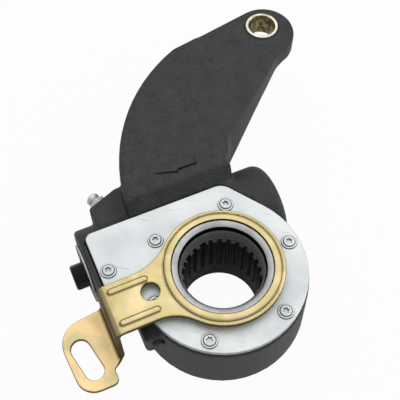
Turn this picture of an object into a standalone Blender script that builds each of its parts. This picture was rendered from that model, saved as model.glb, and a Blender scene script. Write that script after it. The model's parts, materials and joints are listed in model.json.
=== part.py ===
# Automatic brake slack adjuster: lever casting, worm gear, rack drive and control arm.
# Metres, +Z up. The origin is on the spline axis in the cover plate's top plane.
# The lever points along +Y. The worm barrel lies in a frame turned about Z by BARREL_TURN.
import bpy
import bmesh
from math import pi, sin, cos, tan, acos, atan2, hypot, sqrt, radians
from mathutils import Matrix, Vector

# Running gaps between pieces
GAP = 0.0003
THREAD_GAP = 0.0003

# Lever
ARM_LENGTH = 0.150
ARM_FACE_Z = 0.003
ARM_END_THICK = 0.0127
ARM_ROOT_RISE = 0.003
ARM_ROOT_DROP = 0.006
ARM_EDGE_ROUND = 0.0022
ARM_END_R = 0.0169
ARM_END_SHIFT_X = 0.0015
ARM_END_SHIFT_Y = 0.0029
ARM_PAD_LENGTH = 0.014
ARM_PAD_STEP = 0.0006
ARM_BACK_R = 0.10215
ARM_SHOULDER_X = -0.0460
ARM_SHOULDER_DROP = 0.0248
ARM_BACK_ROOT = (-0.0479, 0.019)
ARM_EYE_LOBE = 0.0035
ARM_NECK_FILLET = 0.020
ARM_FRONT_ROOT = (-0.00685, 0.0615)
ARM_FRONT_FILLET = 0.004
ARM_FRONT_SWEEP = radians(80.0)
ARM_BURIED_CORNERS = ((-0.028, 0.006), (0.010, 0.028), (-0.002, 0.050))
ARM_ROOT_Y = 0.055
PIN_BORE_R = 0.007
BUSH_WALL = 0.002
BUSH_PROUD = 0.0004
ARROW_TIP_U = -0.0100
ARROW_V = 0.0578
ARROW_LENGTH = 0.0206
ARROW_HEAD_LENGTH = 0.0104
ARROW_HEAD_HALF = 0.0033
ARROW_SHAFT_HALF = 0.0021
ARROW_HEIGHT = 0.0008

# Worm barrel and housing, in the turned frame (u along the worm, v across)
BARREL_TURN = radians(33.0)
WORM_V = 0.034
WORM_Z = -0.022
BARREL_R = 0.0215
BARREL_LEFT = -0.0565
BARREL_RIGHT = 0.0447
BARREL_END_ROUND = 0.0055
BORE_R = 0.0125
HUB_TOP_R = 0.0409
HUB_DRAFT = 0.0012
HUB_DEPTH = 0.036
HUB_BACK_ROUND = 0.0015
REAR_BOSS_R = 0.0285
REAR_BOSS_END = -0.0415
BLOCK_UNDER_PLATE = 0.0016
BLOCK_INNER_U = -0.018
BLOCK_LEFT_U = -0.0559
BLOCK_STEP_U = -0.0542
BLOCK_STEP_V = (0.0134, 0.0148)
BLOCK_DEPTH = 0.030
RIM_HEIGHT = 0.0028
CAST_EDGE_ROUND = 0.0015
CREASE_V = 0.0495
ROOT_WALL_V = 0.0434
NIPPLE_BOSS_U = (-0.0457, -0.0300)
NIPPLE_BOSS_Z = (-0.021, -0.005)
NIPPLE_FACE_V = 0.0619
NIPPLE_OFFSET = 0.0010
NIPPLE_LEAN = radians(21.0)
NIPPLE_BOSS_TAPER = 0.0011
NIPPLE_BOSS_ROOT_V = 0.042
NIPPLE_BOSS_RUN = 0.006
NIPPLE_HOLE_R = 0.0033
NIPPLE_HOLE_DEPTH = 0.0076
NIPPLE_STEM = 0.0045
NIPPLE_HEX_R = 0.0047
NIPPLE_HEX_FLATS = 0.0082
NIPPLE_HEX_HEIGHT = 0.0022
NIPPLE_BALL_R = 0.0035
NIPPLE_HEIGHT = 0.0082
NIPPLE_TO_CHANNEL = 0.0071

# Cover plate and its screws
PLATE_THICK = 0.0023
PLATE_R = 0.0403
PLATE_TOP_V = 0.0427
PLATE_LEFT_U = -0.0532
PLATE_LOW_V = 0.012
PLATE_CORNER = 0.0035
PLATE_PEAK_ROUND = 0.008
PLATE_SLANT = radians(35.1)
PLATE_INNER_FILLET = 0.004
GASKET_THICK = 0.0005
GASKET_INSET = 0.0005
SCREW_CIRCLE_R = 0.035
SCREW_ANGLES = (1.0, 63.0, 130.6, 184.0, 236.0, 300.4)
CORNER_SCREW = (-0.0487, 0.0207)
SCREW_R = 0.002
SCREW_LENGTH = 0.0075
SCREW_HEAD_R = 0.0038
SCREW_HEAD_HEIGHT = 0.0020
SCREW_RECESS_R = 0.0019
SCREW_RECESS_DEPTH = 0.0010

# Worm wheel
WHEEL_TEETH = 24
WORM_PITCH_R = 0.0075
WHEEL_ADDENDUM = 0.9
DEDENDUM = 1.1
PRESSURE_ANGLE = radians(20.0)
BACKLASH = 0.00028
THROAT_CLEARANCE = 0.0004
WHEEL_HALF_WIDTH = 0.008
WHEEL_MAX_R = 0.0290
SPLINES = 26
SPLINE_TIP_R = 0.0180
SPLINE_ROOT_R = 0.0191
SPLINE_TOP = -0.0058
SPLINE_BOTTOM = -0.0332
WHEEL_SLEEVE_R = 0.0205
WHEEL_SLEEVE_TOP = 0.001
WHEEL_COUNTERBORE_R = 0.0194
WHEEL_COUNTERBORE_Z = -0.0042
WHEEL_GROOVE_R = 0.0198
WHEEL_GROOVE = 0.001
WHEEL_REAR_R = 0.0234
WHEEL_REAR_END = -0.045
WHEEL_ROOM = 0.001

# Control ring and the ear that moves the rack
RING_WALL = 0.0032
RING_TOP = 0.0048
RING_FLANGE_R = 0.030
RING_FLANGE_Z = (-0.0122, -0.0092)
RING_ROOM = 0.001
EAR_REACH = 0.0365
EAR_TIP_R = 0.0020
EAR_NECK = 0.0034
EAR_ROOM = 0.0012
EAR_WINDOW_END_U = -0.024
EAR_IN_RACK = 0.0035
CONTROL_TRAVEL = radians(15.0)

# Control arm, sheet metal
SHEET = 0.0025
SHEET_BOTTOM = 0.0025
EYE_R = 0.0293
WAIST_HALF = 0.0125
WAIST_FILLET_HIGH = 0.030
WAIST_FILLET_LOW = 0.020
RISER_ROOM = 0.00105
BEND_R = 0.0035
RISER_DROP = 0.0155
SIGHT_HOLE = (-0.0353, 0.0014)
SIGHT_HOLE_R = 0.0043
RIB_V = 0.008
RIB_U = (-0.0520, -0.0355)
RIB_HALF = 0.0014
RIB_HEIGHT = 0.0010
TAB_OUTER_U = -0.0816
TAB_HIGH_V = 0.0092
TAB_LOW_V = -0.0252
TAB_INNER_U = -0.0612
TAB_CORNER = 0.012
TAB_END_ROUND = 0.009
TAB_INNER_ROUND = 0.003
TAB_TAPER = 0.0022
TAB_RISE = 0.0024
FLARE_START = 0.35
FLARE_BEFORE_TAB = 0.003
FLARE_V = -0.0150
LOBE_CORNER = (-0.0602, -0.0172)
LOBE_ROUND = 0.0015
TAB_NECK = (-0.0620, -0.0178)
TAB_NECK_FILLET = 0.0022
SLOT_CENTRE = (-0.0719, -0.0092)
SLOT_LENGTH = 0.0218
SLOT_R = 0.0045
SLOT_LEAN = radians(11.6)

# Rack and pinion on the worm shaft
RACK_U = (-0.0411, -0.0354)
RACK_BACK_Z = -0.0093
RACK_LOW_END = -0.0015
RACK_TOOTH_START = 0.0260
PINION_TEETH = 15
PINION_PITCH_R = 0.0095
PINION_ADDENDUM = 0.8
PINION_U = (-0.0425, -0.0335)
SLEEVE_R = 0.0084
CHANNEL_MOUTH_V = -0.0163
BOSS_OUTER_U = -0.0453
BOSS_TOP_Z = -0.0065
BOSS_INNER_U = -0.026
BOSS_END_V = 0.020
BOSS_LOW_Z = -0.0207
RACK_PLUG_LENGTH = 0.003
RACK_SPRING_R = 0.00155
RACK_SPRING_WIRE_R = 0.0004
RACK_SPRING_TURNS = 6
RACK_SPRING_LENGTH = 0.0068

# Worm shaft along u
HEX_FLATS = 0.012
HEX_CORNER_R = 0.0065
HEX_END_U = -0.0643
HEX_START_U = -0.0586
HEX_TURN = radians(10.0)
JOURNAL_R = 0.0065
COLLAR_R = 0.009
COLLAR_U = (-0.0195, -0.0170)
WORM_HALF_LENGTH = 0.0155
TAIL_R = 0.006
CLUTCH_U = (-0.0275, -0.0200)
ONE_WAY_WIRE_R = 0.0006
ONE_WAY_TURNS = 6

# Caps, bearing and spring along u
CAP_FLANGE_R = 0.0150
CAP_FLANGE = 0.0010
CAP_PLUG_LENGTH = 0.006
CAP_HOLE_R = 0.0086
RACE_THICK = 0.0016
RACE_U = 0.0178
RACE_INNER_R = 0.0063
RACE_OUTER_R = 0.0105
BALL_R = 0.0014
BALL_CIRCLE_R = 0.0084
BALLS = 8
CAGE_THICK = 0.0012
CUP_THICK = 0.0020
CUP_SPIGOT_R = 0.0062
CUP_SPIGOT = 0.005
SPRING_WIRE_R = 0.0012
SPRING_MEAN_R = 0.0095
SPRING_TURNS = 3.5
SPRING_CAP_LENGTH = 0.0045
SPRING_CAP_SOCKET = 0.010
SPRING_CAP_SOCKET_DEPTH = 0.0025

# Facets round a circle
ROUND = 48
SMALL_ROUND = 24
TINY_ROUND = 12

# Worked out from the sizes above
MODULE = 2 * (WORM_V - WORM_PITCH_R) / WHEEL_TEETH
WHEEL_PITCH_R = WORM_V - WORM_PITCH_R
WORM_PITCH = pi * MODULE
WORM_TIP_R = WORM_PITCH_R + WHEEL_ADDENDUM * MODULE
WORM_ROOT_R = WORM_PITCH_R - DEDENDUM * MODULE
WHEEL_TIP_R = WHEEL_PITCH_R + WHEEL_ADDENDUM * MODULE
WHEEL_CAVITY_R = WHEEL_MAX_R + WHEEL_ROOM
PLATE_BOTTOM = -PLATE_THICK
GASKET_TOP = PLATE_BOTTOM - GAP
BODY_TOP = GASKET_TOP - GASKET_THICK - GAP
RING_INNER_R = WHEEL_SLEEVE_R + GAP
RING_OUTER_R = RING_INNER_R + RING_WALL
RING_CAVITY_R = RING_FLANGE_R + RING_ROOM
RING_CAVITY_LOW = RING_FLANGE_Z[0] - GAP
WHEEL_LOW = WORM_Z - WHEEL_HALF_WIDTH
BUSH_OUTER_R = PIN_BORE_R + BUSH_WALL
EAR_V = EAR_REACH * sin(CONTROL_TRAVEL / 2)
PINION_MODULE = 2 * PINION_PITCH_R / PINION_TEETH
RACK_PITCH_Z = WORM_Z + PINION_PITCH_R
RACK_PITCH = pi * PINION_MODULE
CHANNEL_END_V = NIPPLE_FACE_V - NIPPLE_TO_CHANNEL
RACK_HIGH_END = CHANNEL_END_V - RACK_SPRING_LENGTH
BEND_U = RISER_ROOM - BLOCK_STEP_U - BEND_R + SHEET / 2
SHEET_MID = SHEET_BOTTOM + SHEET / 2
TAB_BOTTOM = SHEET_BOTTOM - 2 * BEND_R - RISER_DROP
SEAL_INNER_R = RING_OUTER_R + GAP
SEAL_OUTER_R = SEAL_INNER_R + 0.0010
PLATE_HOLE_R = SEAL_OUTER_R + GAP
BEARING_END_U = RACE_U + 2 * RACE_THICK + 2 * BALL_R + 2 * GAP

FINISHES = {
    "casting": ((0.050, 0.051, 0.053), 0.55, 0.3),
    "zinc": ((0.80, 0.83, 0.84), 0.35, 0.8),
    "yellow_zinc": ((0.79, 0.60, 0.27), 0.32, 0.8),
    "steel": ((0.42, 0.42, 0.43), 0.35, 0.9),
    "dark_steel": ((0.060, 0.060, 0.062), 0.45, 0.7),
    "spring": ((0.20, 0.20, 0.21), 0.35, 0.9),
    "rubber": ((0.015, 0.015, 0.016), 0.75, 0.0),
    "gasket": ((0.10, 0.09, 0.08), 0.85, 0.0),
    "bronze": ((0.62, 0.50, 0.30), 0.40, 0.8),
}


def clear_scene():
    for item in list(bpy.data.objects):
        bpy.data.objects.remove(item, do_unlink=True)


def make_material(name, finish):
    colour, roughness, metallic = FINISHES[finish]
    material = bpy.data.materials.new(name)
    material.use_nodes = True
    shader = material.node_tree.nodes["Principled BSDF"]
    shader.inputs["Base Color"].default_value = (*colour, 1.0)
    shader.inputs["Roughness"].default_value = roughness
    shader.inputs["Metallic"].default_value = metallic
    return material


def add_empty(name, location=(0, 0, 0), rotation=(0, 0, 0), parent=None):
    empty = bpy.data.objects.new(name, None)
    empty.empty_display_size = 0.02
    empty.location = location
    empty.rotation_euler = rotation
    empty.parent = parent
    bpy.context.scene.collection.objects.link(empty)
    return empty


def add_object(name, bm, parent=None, finish="casting", location=(0, 0, 0), rotation=(0, 0, 0)):
    bmesh.ops.remove_doubles(bm, verts=bm.verts, dist=0.000001)
    bmesh.ops.recalc_face_normals(bm, faces=bm.faces)
    mesh = bpy.data.meshes.new(name)
    bm.to_mesh(mesh)
    bm.free()
    mesh.shade_smooth()
    mesh.set_sharp_from_angle(angle=radians(32))
    mesh.materials.append(make_material(name, finish))
    item = bpy.data.objects.new(name, mesh)
    item.parent = parent
    item.location = location
    item.rotation_euler = rotation
    bpy.context.scene.collection.objects.link(item)
    return item


def combine(target, tool, operation):
    tool.hide_render = True
    tool.display_type = "WIRE"
    step = target.modifiers.new(operation.lower() + "_" + tool.name, "BOOLEAN")
    step.operation = operation
    step.solver = "EXACT"
    step.object = tool


def arc(centre, radius, start, end, steps):
    points = []
    for i in range(steps + 1):
        a = start + (end - start) * i / steps
        points.append((centre[0] + radius * cos(a), centre[1] + radius * sin(a)))
    return points


def circle(centre, radius, steps):
    return arc(centre, radius, 0.0, 2 * pi, steps)[:-1]


def arc_between(p, q, radius, steps):
    # Arc from p to q, with its centre on the right of the way from p to q when radius is positive
    mid = Vector(((p[0] + q[0]) / 2, (p[1] + q[1]) / 2))
    way = Vector((q[0] - p[0], q[1] - p[1]))
    rise = sqrt(max(radius * radius - way.length_squared / 4, 0.0))
    side = Vector((way.y, -way.x)).normalized()
    centre = mid + side * rise * (1 if radius > 0 else -1)
    start = atan2(p[1] - centre.y, p[0] - centre.x)
    end = atan2(q[1] - centre.y, q[0] - centre.x)
    turn = (end - start + pi) % (2 * pi) - pi
    return arc(centre, abs(radius), start, start + turn, steps)


def tangent_point(centre, radius, outside, side):
    # Touching point on a circle of the line through a point outside it
    way = (outside[0] - centre[0], outside[1] - centre[1])
    angle = atan2(way[1], way[0]) + side * acos(radius / hypot(*way))
    return angle


def round_corner(before, corner, after, radius, steps):
    a = (Vector(before) - Vector(corner)).normalized()
    b = (Vector(after) - Vector(corner)).normalized()
    half = a.angle(b) / 2
    reach = radius / tan(half)
    centre = Vector(corner) + (a + b).normalized() * radius / sin(half)
    start = Vector(corner) + a * reach - centre
    end = Vector(corner) + b * reach - centre
    first = atan2(start.y, start.x)
    turn = (atan2(end.y, end.x) - first + pi) % (2 * pi) - pi
    return arc(centre, radius, first, first + turn, steps)


def prism_mesh(outline, low, high):
    bm = bmesh.new()
    face = bm.faces.new([bm.verts.new((x, y, low)) for x, y in outline])
    raised = bmesh.ops.extrude_face_region(bm, geom=[face])
    top = [v for v in raised["geom"] if isinstance(v, bmesh.types.BMVert)]
    bmesh.ops.translate(bm, verts=top, vec=(0, 0, high - low))
    return bm


def level_edges(bm, level, tolerance=0.000001):
    return [e for e in bm.edges if all(abs(v.co.z - level) < tolerance for v in e.verts)]


def bevel(bm, edges, width, segments):
    bmesh.ops.bevel(bm, geom=edges, offset=width, offset_type="OFFSET", segments=segments,
                    profile=0.5, affect="EDGES", clamp_overlap=True)


def turned_mesh(profile, steps, closed=True):
    # Revolves (radius, height) points about Z
    bm = bmesh.new()
    verts = [bm.verts.new((r, 0, z)) for r, z in profile]
    edges = [bm.edges.new((verts[i], verts[i + 1])) for i in range(len(verts) - 1)]
    if closed:
        edges.append(bm.edges.new((verts[-1], verts[0])))
    bmesh.ops.spin(bm, geom=verts + edges, cent=(0, 0, 0), axis=(0, 0, 1), angle=2 * pi,
                   steps=steps, use_merge=True, use_duplicate=False)
    bmesh.ops.remove_doubles(bm, verts=bm.verts, dist=0.000002)
    return bm


def rod_mesh(sections, steps):
    # A turned solid that reaches the axis at both ends, from (radius, height) points
    first = (0.0, sections[0][1])
    last = (0.0, sections[-1][1])
    return turned_mesh([first] + list(sections) + [last], steps, closed=False)


def ring_mesh(inner, outer, low, high, steps):
    return turned_mesh([(inner, low), (outer, low), (outer, high), (inner, high)], steps)


def loft_mesh(rings):
    # Joins rings of points with faces and closes both ends
    bm = bmesh.new()
    rows = [[bm.verts.new(p) for p in ring] for ring in rings]
    count = len(rows[0])
    for lower, upper in zip(rows, rows[1:]):
        for i in range(count):
            j = (i + 1) % count
            bm.faces.new((lower[i], lower[j], upper[j], upper[i]))
    bm.faces.new(rows[0])
    bm.faces.new(rows[-1])
    return bm


def coil_mesh(mean_r, wire_r, turns, length, steps, sides):
    # A coil spring along Z from 0 to its length, with closed end turns
    low = wire_r
    high = length - wire_r
    count = int(round(turns * steps))
    rings = []
    for i in range(count + 1):
        a = 2 * pi * i / steps
        turn = i / steps
        dead = 2 * wire_r * 1.06
        climb = (high - low - 2 * dead) / (turns - 2)
        if turn < 1:
            z = low + dead * turn
        elif turn > turns - 1:
            z = high - dead * (turns - turn)
        else:
            z = low + dead + climb * (turn - 1)
        ring = []
        for k in range(sides):
            b = 2 * pi * k / sides
            r = mean_r + wire_r * cos(b)
            ring.append((r * cos(a), r * sin(a), z + wire_r * sin(b)))
        rings.append(ring)
    return loft_mesh(rings)


def half_angle(radius, pitch_r, thickness, base_r):
    # Half of an involute tooth's width at a radius, as an angle
    def involute(r):
        a = acos(min(base_r / r, 1.0))
        return tan(a) - a
    at_pitch = thickness / (2 * pitch_r)
    return at_pitch + involute(pitch_r) - involute(max(radius, base_r))


def gear_outline(teeth, pitch_r, tip_r, root_r, thickness, phase, flank_steps):
    base_r = pitch_r * cos(PRESSURE_ANGLE)
    radii = [root_r + (tip_r - root_r) * k / flank_steps for k in range(flank_steps + 1)]
    points = []
    for i in range(teeth):
        a = phase + 2 * pi * i / teeth
        flank = [(r, half_angle(r, pitch_r, thickness, base_r)) for r in radii]
        for r, h in flank:
            points.append((r * cos(a - h), r * sin(a - h)))
        for r, h in reversed(flank):
            points.append((r * cos(a + h), r * sin(a + h)))
    return points


def lever_level(y, high):
    # Height of the lever's upper or lower face at a distance from the spline axis
    pad_y = ARM_LENGTH - ARM_PAD_LENGTH
    share = min(max((pad_y - y) / (pad_y - ARM_ROOT_Y), 0.0), 1.0)
    step = ARM_PAD_STEP if y < pad_y - 0.0001 else 0.0
    if high:
        return ARM_FACE_Z + step + (ARM_ROOT_RISE - step) * share
    return ARM_FACE_Z - ARM_END_THICK - step - (ARM_ROOT_DROP - step) * share


def lever_outline():
    end = (ARM_END_SHIFT_X, ARM_LENGTH - ARM_END_SHIFT_Y)
    shoulder = (ARM_SHOULDER_X, ARM_LENGTH - ARM_SHOULDER_DROP)
    # The straight front edge runs inside the eye's circle by its lobe
    line_r = ARM_END_R - ARM_EYE_LOBE
    foot = tangent_point(end, line_r, ARM_FRONT_ROOT, 1)
    side = Vector((cos(foot), sin(foot)))
    along = Vector((-side.y, side.x))
    root = Vector(ARM_FRONT_ROOT) + side * ARM_FRONT_FILLET
    points = arc(root, ARM_FRONT_FILLET, foot + pi + ARM_FRONT_SWEEP, foot + pi, 7)
    # Hollow fillet between that edge and the eye
    reach = sqrt((ARM_END_R + ARM_NECK_FILLET) ** 2 - (line_r + ARM_NECK_FILLET) ** 2)
    neck = Vector(end) + side * (line_r + ARM_NECK_FILLET) - along * reach
    start = atan2(neck.y - end[1], neck.x - end[0])
    points += arc(neck, ARM_NECK_FILLET, foot + pi, start + pi, 4)[:-1]
    stop = tangent_point(end, ARM_END_R, shoulder, -1)
    stop = start + (stop - start) % (2 * pi)
    points += arc(end, ARM_END_R, start, stop, 16)
    points += arc_between(shoulder, ARM_BACK_ROOT, -ARM_BACK_R, 16)
    points += ARM_BURIED_CORNERS
    return points


def build_lever():
    low = ARM_FACE_Z - ARM_END_THICK
    bm = prism_mesh(lever_outline(), low, ARM_FACE_Z)
    bevel(bm, level_edges(bm, ARM_FACE_Z) + level_edges(bm, low), ARM_EDGE_ROUND, 3)
    pad_y = ARM_LENGTH - ARM_PAD_LENGTH
    for y in (ARM_ROOT_Y, pad_y, pad_y - ARM_PAD_STEP):
        bmesh.ops.bisect_plane(bm, geom=bm.verts[:] + bm.edges[:] + bm.faces[:],
                               plane_co=(0, y, 0), plane_no=(0, 1, 0))
    middle = ARM_FACE_Z - ARM_END_THICK / 2
    half = ARM_END_THICK / 2
    for v in bm.verts:
        share = (v.co.z - middle) / half
        high = lever_level(v.co.y, True)
        deep = lever_level(v.co.y, False)
        v.co.z = (high + deep) / 2 + share * (high - deep) / 2
    return add_object("body_casting", bm)


def plate_outline(inset):
    r = PLATE_R - inset
    left = PLATE_LEFT_U + inset
    top = PLATE_TOP_V - inset
    low = PLATE_LOW_V + inset
    normal = Vector((cos(PLATE_SLANT), sin(PLATE_SLANT)))
    along = Vector((-normal.y, normal.x))
    touch = normal * r
    peak = touch + along * ((top - touch.y) / along.y)
    join = (-sqrt(r * r - low * low), low)
    down = (-r * cos(radians(8)), r * sin(radians(8)))
    points = round_corner(touch, peak, (left, top), PLATE_PEAK_ROUND, 5)
    points += round_corner(peak, (left, top), (left, low), PLATE_CORNER, 4)
    points += round_corner((left, top), (left, low), join, PLATE_CORNER, 4)
    points += round_corner((left, low), join, down, PLATE_INNER_FILLET, 4)
    start = atan2(points[-1][1], points[-1][0])
    points += arc((0, 0), r, start + radians(4), PLATE_SLANT + 2 * pi, 30)
    return points


def screw_places():
    places = [(SCREW_CIRCLE_R * cos(radians(a)), SCREW_CIRCLE_R * sin(radians(a))) for a in SCREW_ANGLES]
    places.append(CORNER_SCREW)
    return places


def along_u(parent, name, bm, finish="casting", at=0.0):
    # Lays a solid that was turned about Z along the barrel's u axis
    return add_object(name, bm, parent, finish, (at, 0, 0), (0, pi / 2, 0))


def box_mesh(low, high):
    bm = bmesh.new()
    bmesh.ops.create_cube(bm, size=1.0)
    size = [b - a for a, b in zip(low, high)]
    centre = [(a + b) / 2 for a, b in zip(low, high)]
    bmesh.ops.scale(bm, verts=bm.verts, vec=size)
    bmesh.ops.translate(bm, verts=bm.verts, vec=centre)
    return bm


def across_u_mesh(outline, low, high):
    # A prism along u from an outline in (v, z)
    bm = prism_mesh(outline, low, high)
    bmesh.ops.transform(bm, verts=bm.verts,
                        matrix=Matrix(((0, 0, 1, 0), (1, 0, 0, 0), (0, 1, 0, 0), (0, 0, 0, 1))))
    return bm


def build_casting(housing, barrel):
    casting = build_lever()

    # Barrel round the worm, rounded at the spring end
    length = BARREL_RIGHT - BARREL_LEFT
    sections = [(BARREL_R - 0.001, 0.0), (BARREL_R, 0.001)]
    sections += [(r, z) for z, r in arc((length - BARREL_END_ROUND, BARREL_R - BARREL_END_ROUND),
                                        BARREL_END_ROUND, pi / 2, 0.15, 6)]
    tube = along_u(barrel, "barrel_form", rod_mesh(sections, 40), at=BARREL_LEFT)
    combine(casting, tube, "UNION")

    # Round housing with draft, and the boss at its back
    low = -HUB_DEPTH
    wide = HUB_TOP_R + HUB_DRAFT
    sections = [(HUB_TOP_R, BODY_TOP), (wide, low + HUB_BACK_ROUND)]
    sections += [(wide - HUB_BACK_ROUND * 0.35, low + HUB_BACK_ROUND * 0.35), (wide - HUB_BACK_ROUND, low)]
    sections += [(REAR_BOSS_R + 0.002, low - 0.0005), (REAR_BOSS_R, low - 0.002)]
    sections += [(REAR_BOSS_R - 0.0005, REAR_BOSS_END + 0.001), (REAR_BOSS_R - 0.0025, REAR_BOSS_END - 0.001)]
    drum = add_object("round_form", rod_mesh(sections, ROUND), housing)
    combine(casting, drum, "UNION")
    back = box_mesh((-0.09, -0.09, REAR_BOSS_END - 0.02), (0.09, 0.09, REAR_BOSS_END))
    combine(casting, add_object("back_cut", back, housing), "DIFFERENCE")

    # Block under the plate's long corner, stepped clear of the control arm's riser
    low = PLATE_LOW_V - BLOCK_UNDER_PLATE
    block = prism_mesh([(BLOCK_STEP_U, low), (BLOCK_INNER_U, low - 0.004), (BLOCK_INNER_U, WORM_V),
                        (BLOCK_LEFT_U, WORM_V), (BLOCK_LEFT_U, BLOCK_STEP_V[1]),
                        (BLOCK_STEP_U, BLOCK_STEP_V[0])], -BLOCK_DEPTH, BODY_TOP + RIM_HEIGHT)
    corner = [e for e in block.edges
              if all(v.co.y < low + 0.0001 and v.co.x < BLOCK_STEP_U + 0.0001 for v in e.verts)]
    bevel(block, corner, CAST_EDGE_ROUND, 2)
    combine(casting, add_object("corner_form", block, housing), "UNION")

    # Rack channel boss beside the round housing
    lower = prism_mesh([(BOSS_OUTER_U, CHANNEL_MOUTH_V), (BOSS_INNER_U, CHANNEL_MOUTH_V),
                        (BOSS_INNER_U, BOSS_END_V), (BOSS_OUTER_U, BOSS_END_V)], BOSS_LOW_Z, BOSS_TOP_Z)
    outer = [e for e in lower.edges if all(v.co.x < BOSS_OUTER_U + 0.001 for v in e.verts)]
    bevel(lower, outer, CAST_EDGE_ROUND, 2)
    combine(casting, add_object("rack_form", lower, housing), "UNION")

    # Boss behind the barrel with the slanted face of the grease nipple
    middle = (NIPPLE_BOSS_U[0] + NIPPLE_BOSS_U[1]) / 2
    half = (NIPPLE_BOSS_U[1] - NIPPLE_BOSS_U[0]) / 2
    fall = half * tan(NIPPLE_LEAN)
    inner = NIPPLE_BOSS_U[1] + NIPPLE_BOSS_RUN
    boss = prism_mesh([(NIPPLE_BOSS_U[0] + NIPPLE_BOSS_TAPER, NIPPLE_BOSS_ROOT_V),
                       (inner, NIPPLE_BOSS_ROOT_V), (inner, NIPPLE_FACE_V + fall),
                       (middle + half, NIPPLE_FACE_V + fall), (middle - half, NIPPLE_FACE_V - fall)],
                      NIPPLE_BOSS_Z[0], NIPPLE_BOSS_Z[1])
    outer = [e for e in boss.edges if all(v.co.y > NIPPLE_BOSS_ROOT_V + 0.001 for v in e.verts)]
    bevel(boss, outer, CAST_EDGE_ROUND, 2)
    combine(casting, add_object("nipple_form", boss, housing), "UNION")

    # Everything above the sloping wall between the plate and the lever's face
    slope = across_u_mesh([(ROOT_WALL_V, BODY_TOP + RIM_HEIGHT),
                           (CREASE_V, ARM_FACE_Z + ARM_ROOT_RISE - 0.0004),
                           (CREASE_V + 0.003, ARM_FACE_Z + ARM_ROOT_RISE + 0.0006),
                           (CREASE_V + 0.004, ARM_FACE_Z + 0.02), (-0.03, ARM_FACE_Z + 0.02),
                           (-0.03, BODY_TOP + RIM_HEIGHT)], -0.08, 0.08)
    combine(casting, add_object("slope_cut", slope, housing), "DIFFERENCE")

    # Seat of the cover plate
    seat = add_object("seat_cut", prism_mesh(plate_outline(-0.0005), BODY_TOP, 0.030), housing)
    combine(casting, seat, "DIFFERENCE")

    # Chamber for the control ring, the worm wheel and its rear hub
    rear_r = WHEEL_REAR_R + GAP
    chamber = rod_mesh([(RING_CAVITY_R, 0.01), (RING_CAVITY_R, RING_CAVITY_LOW),
                        (WHEEL_CAVITY_R, RING_CAVITY_LOW - 0.0002),
                        (WHEEL_CAVITY_R, WHEEL_LOW - WHEEL_ROOM), (rear_r, WHEEL_LOW - WHEEL_ROOM - 0.0002),
                        (rear_r, WHEEL_REAR_END - 0.005)], ROUND)
    combine(casting, add_object("chamber_cut", chamber, housing), "DIFFERENCE")

    # Worm bore through both ends of the barrel
    bore = rod_mesh([(BORE_R, -0.005), (BORE_R, length + 0.005)], SMALL_ROUND + 8)
    combine(casting, along_u(barrel, "bore_cut", bore, at=BARREL_LEFT), "DIFFERENCE")

    # Rack channel, and the window for the control ring's ear
    channel = box_mesh((RACK_U[0] - 0.0004, CHANNEL_MOUTH_V - 0.001, RACK_PITCH_Z - PINION_MODULE - 0.0004),
                       (RACK_U[1] + 0.0004, CHANNEL_END_V, RACK_BACK_Z + GAP))
    combine(casting, add_object("channel_cut", channel, housing), "DIFFERENCE")
    sweep = EAR_V + EAR_TIP_R + EAR_ROOM
    window = box_mesh((RACK_U[1] - 0.001, -sweep, RING_FLANGE_Z[0] - 0.0004),
                      (EAR_WINDOW_END_U, sweep, RING_FLANGE_Z[1] + 0.0004))
    combine(casting, add_object("window_cut", window, housing), "DIFFERENCE")

    # Screw holes
    for i, (u, v) in enumerate(screw_places()):
        hole = prism_mesh(circle((u, v), SCREW_R + THREAD_GAP, TINY_ROUND), -SCREW_LENGTH - GAP, SCREW_LENGTH)
        combine(casting, add_object("screw_cut_%d" % (i + 1), hole, housing), "DIFFERENCE")

    # Pin bush hole in the lever's end, and the grease nipple's hole
    hole = prism_mesh(circle((0, ARM_LENGTH), BUSH_OUTER_R + GAP, SMALL_ROUND + 8), -0.03, 0.03)
    combine(casting, add_object("bush_cut", hole), "DIFFERENCE")
    hole = rod_mesh([(NIPPLE_HOLE_R, -NIPPLE_HOLE_DEPTH), (NIPPLE_HOLE_R, 0.0), (NIPPLE_HEX_R + GAP, 0.0001),
                     (NIPPLE_HEX_R + GAP, 2 * NIPPLE_HEIGHT)], TINY_ROUND)
    tool = add_object("nipple_cut", hole, nipple_axis(housing))
    combine(casting, tool, "DIFFERENCE")

    # Arrow cast on the lever's root, along the barrel
    arrow = prism_mesh(arrow_outline(), ARM_FACE_Z + ARM_ROOT_RISE - 0.002,
                       ARM_FACE_Z + ARM_ROOT_RISE + ARROW_HEIGHT)
    combine(casting, add_object("arrow_form", arrow, housing), "UNION")
    return casting


def nipple_axis(housing):
    # Z of this frame leaves the slanted face
    middle = (NIPPLE_BOSS_U[0] + NIPPLE_BOSS_U[1]) / 2
    height = (NIPPLE_BOSS_Z[0] + NIPPLE_BOSS_Z[1]) / 2
    place = (middle - NIPPLE_OFFSET, NIPPLE_FACE_V - NIPPLE_OFFSET * tan(NIPPLE_LEAN), height)
    return add_empty("nipple_axis", place, (-pi / 2, 0, NIPPLE_LEAN), housing)


def arrow_outline():
    head = ARROW_TIP_U + ARROW_HEAD_LENGTH
    tail = ARROW_TIP_U + ARROW_LENGTH
    low = [(head, -ARROW_HEAD_HALF), (head, -ARROW_SHAFT_HALF), (tail, -ARROW_SHAFT_HALF)]
    high = [(u, -v) for u, v in reversed(low)]
    return [(u, ARROW_V + v) for u, v in [(ARROW_TIP_U, 0.0)] + low + high]


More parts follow.
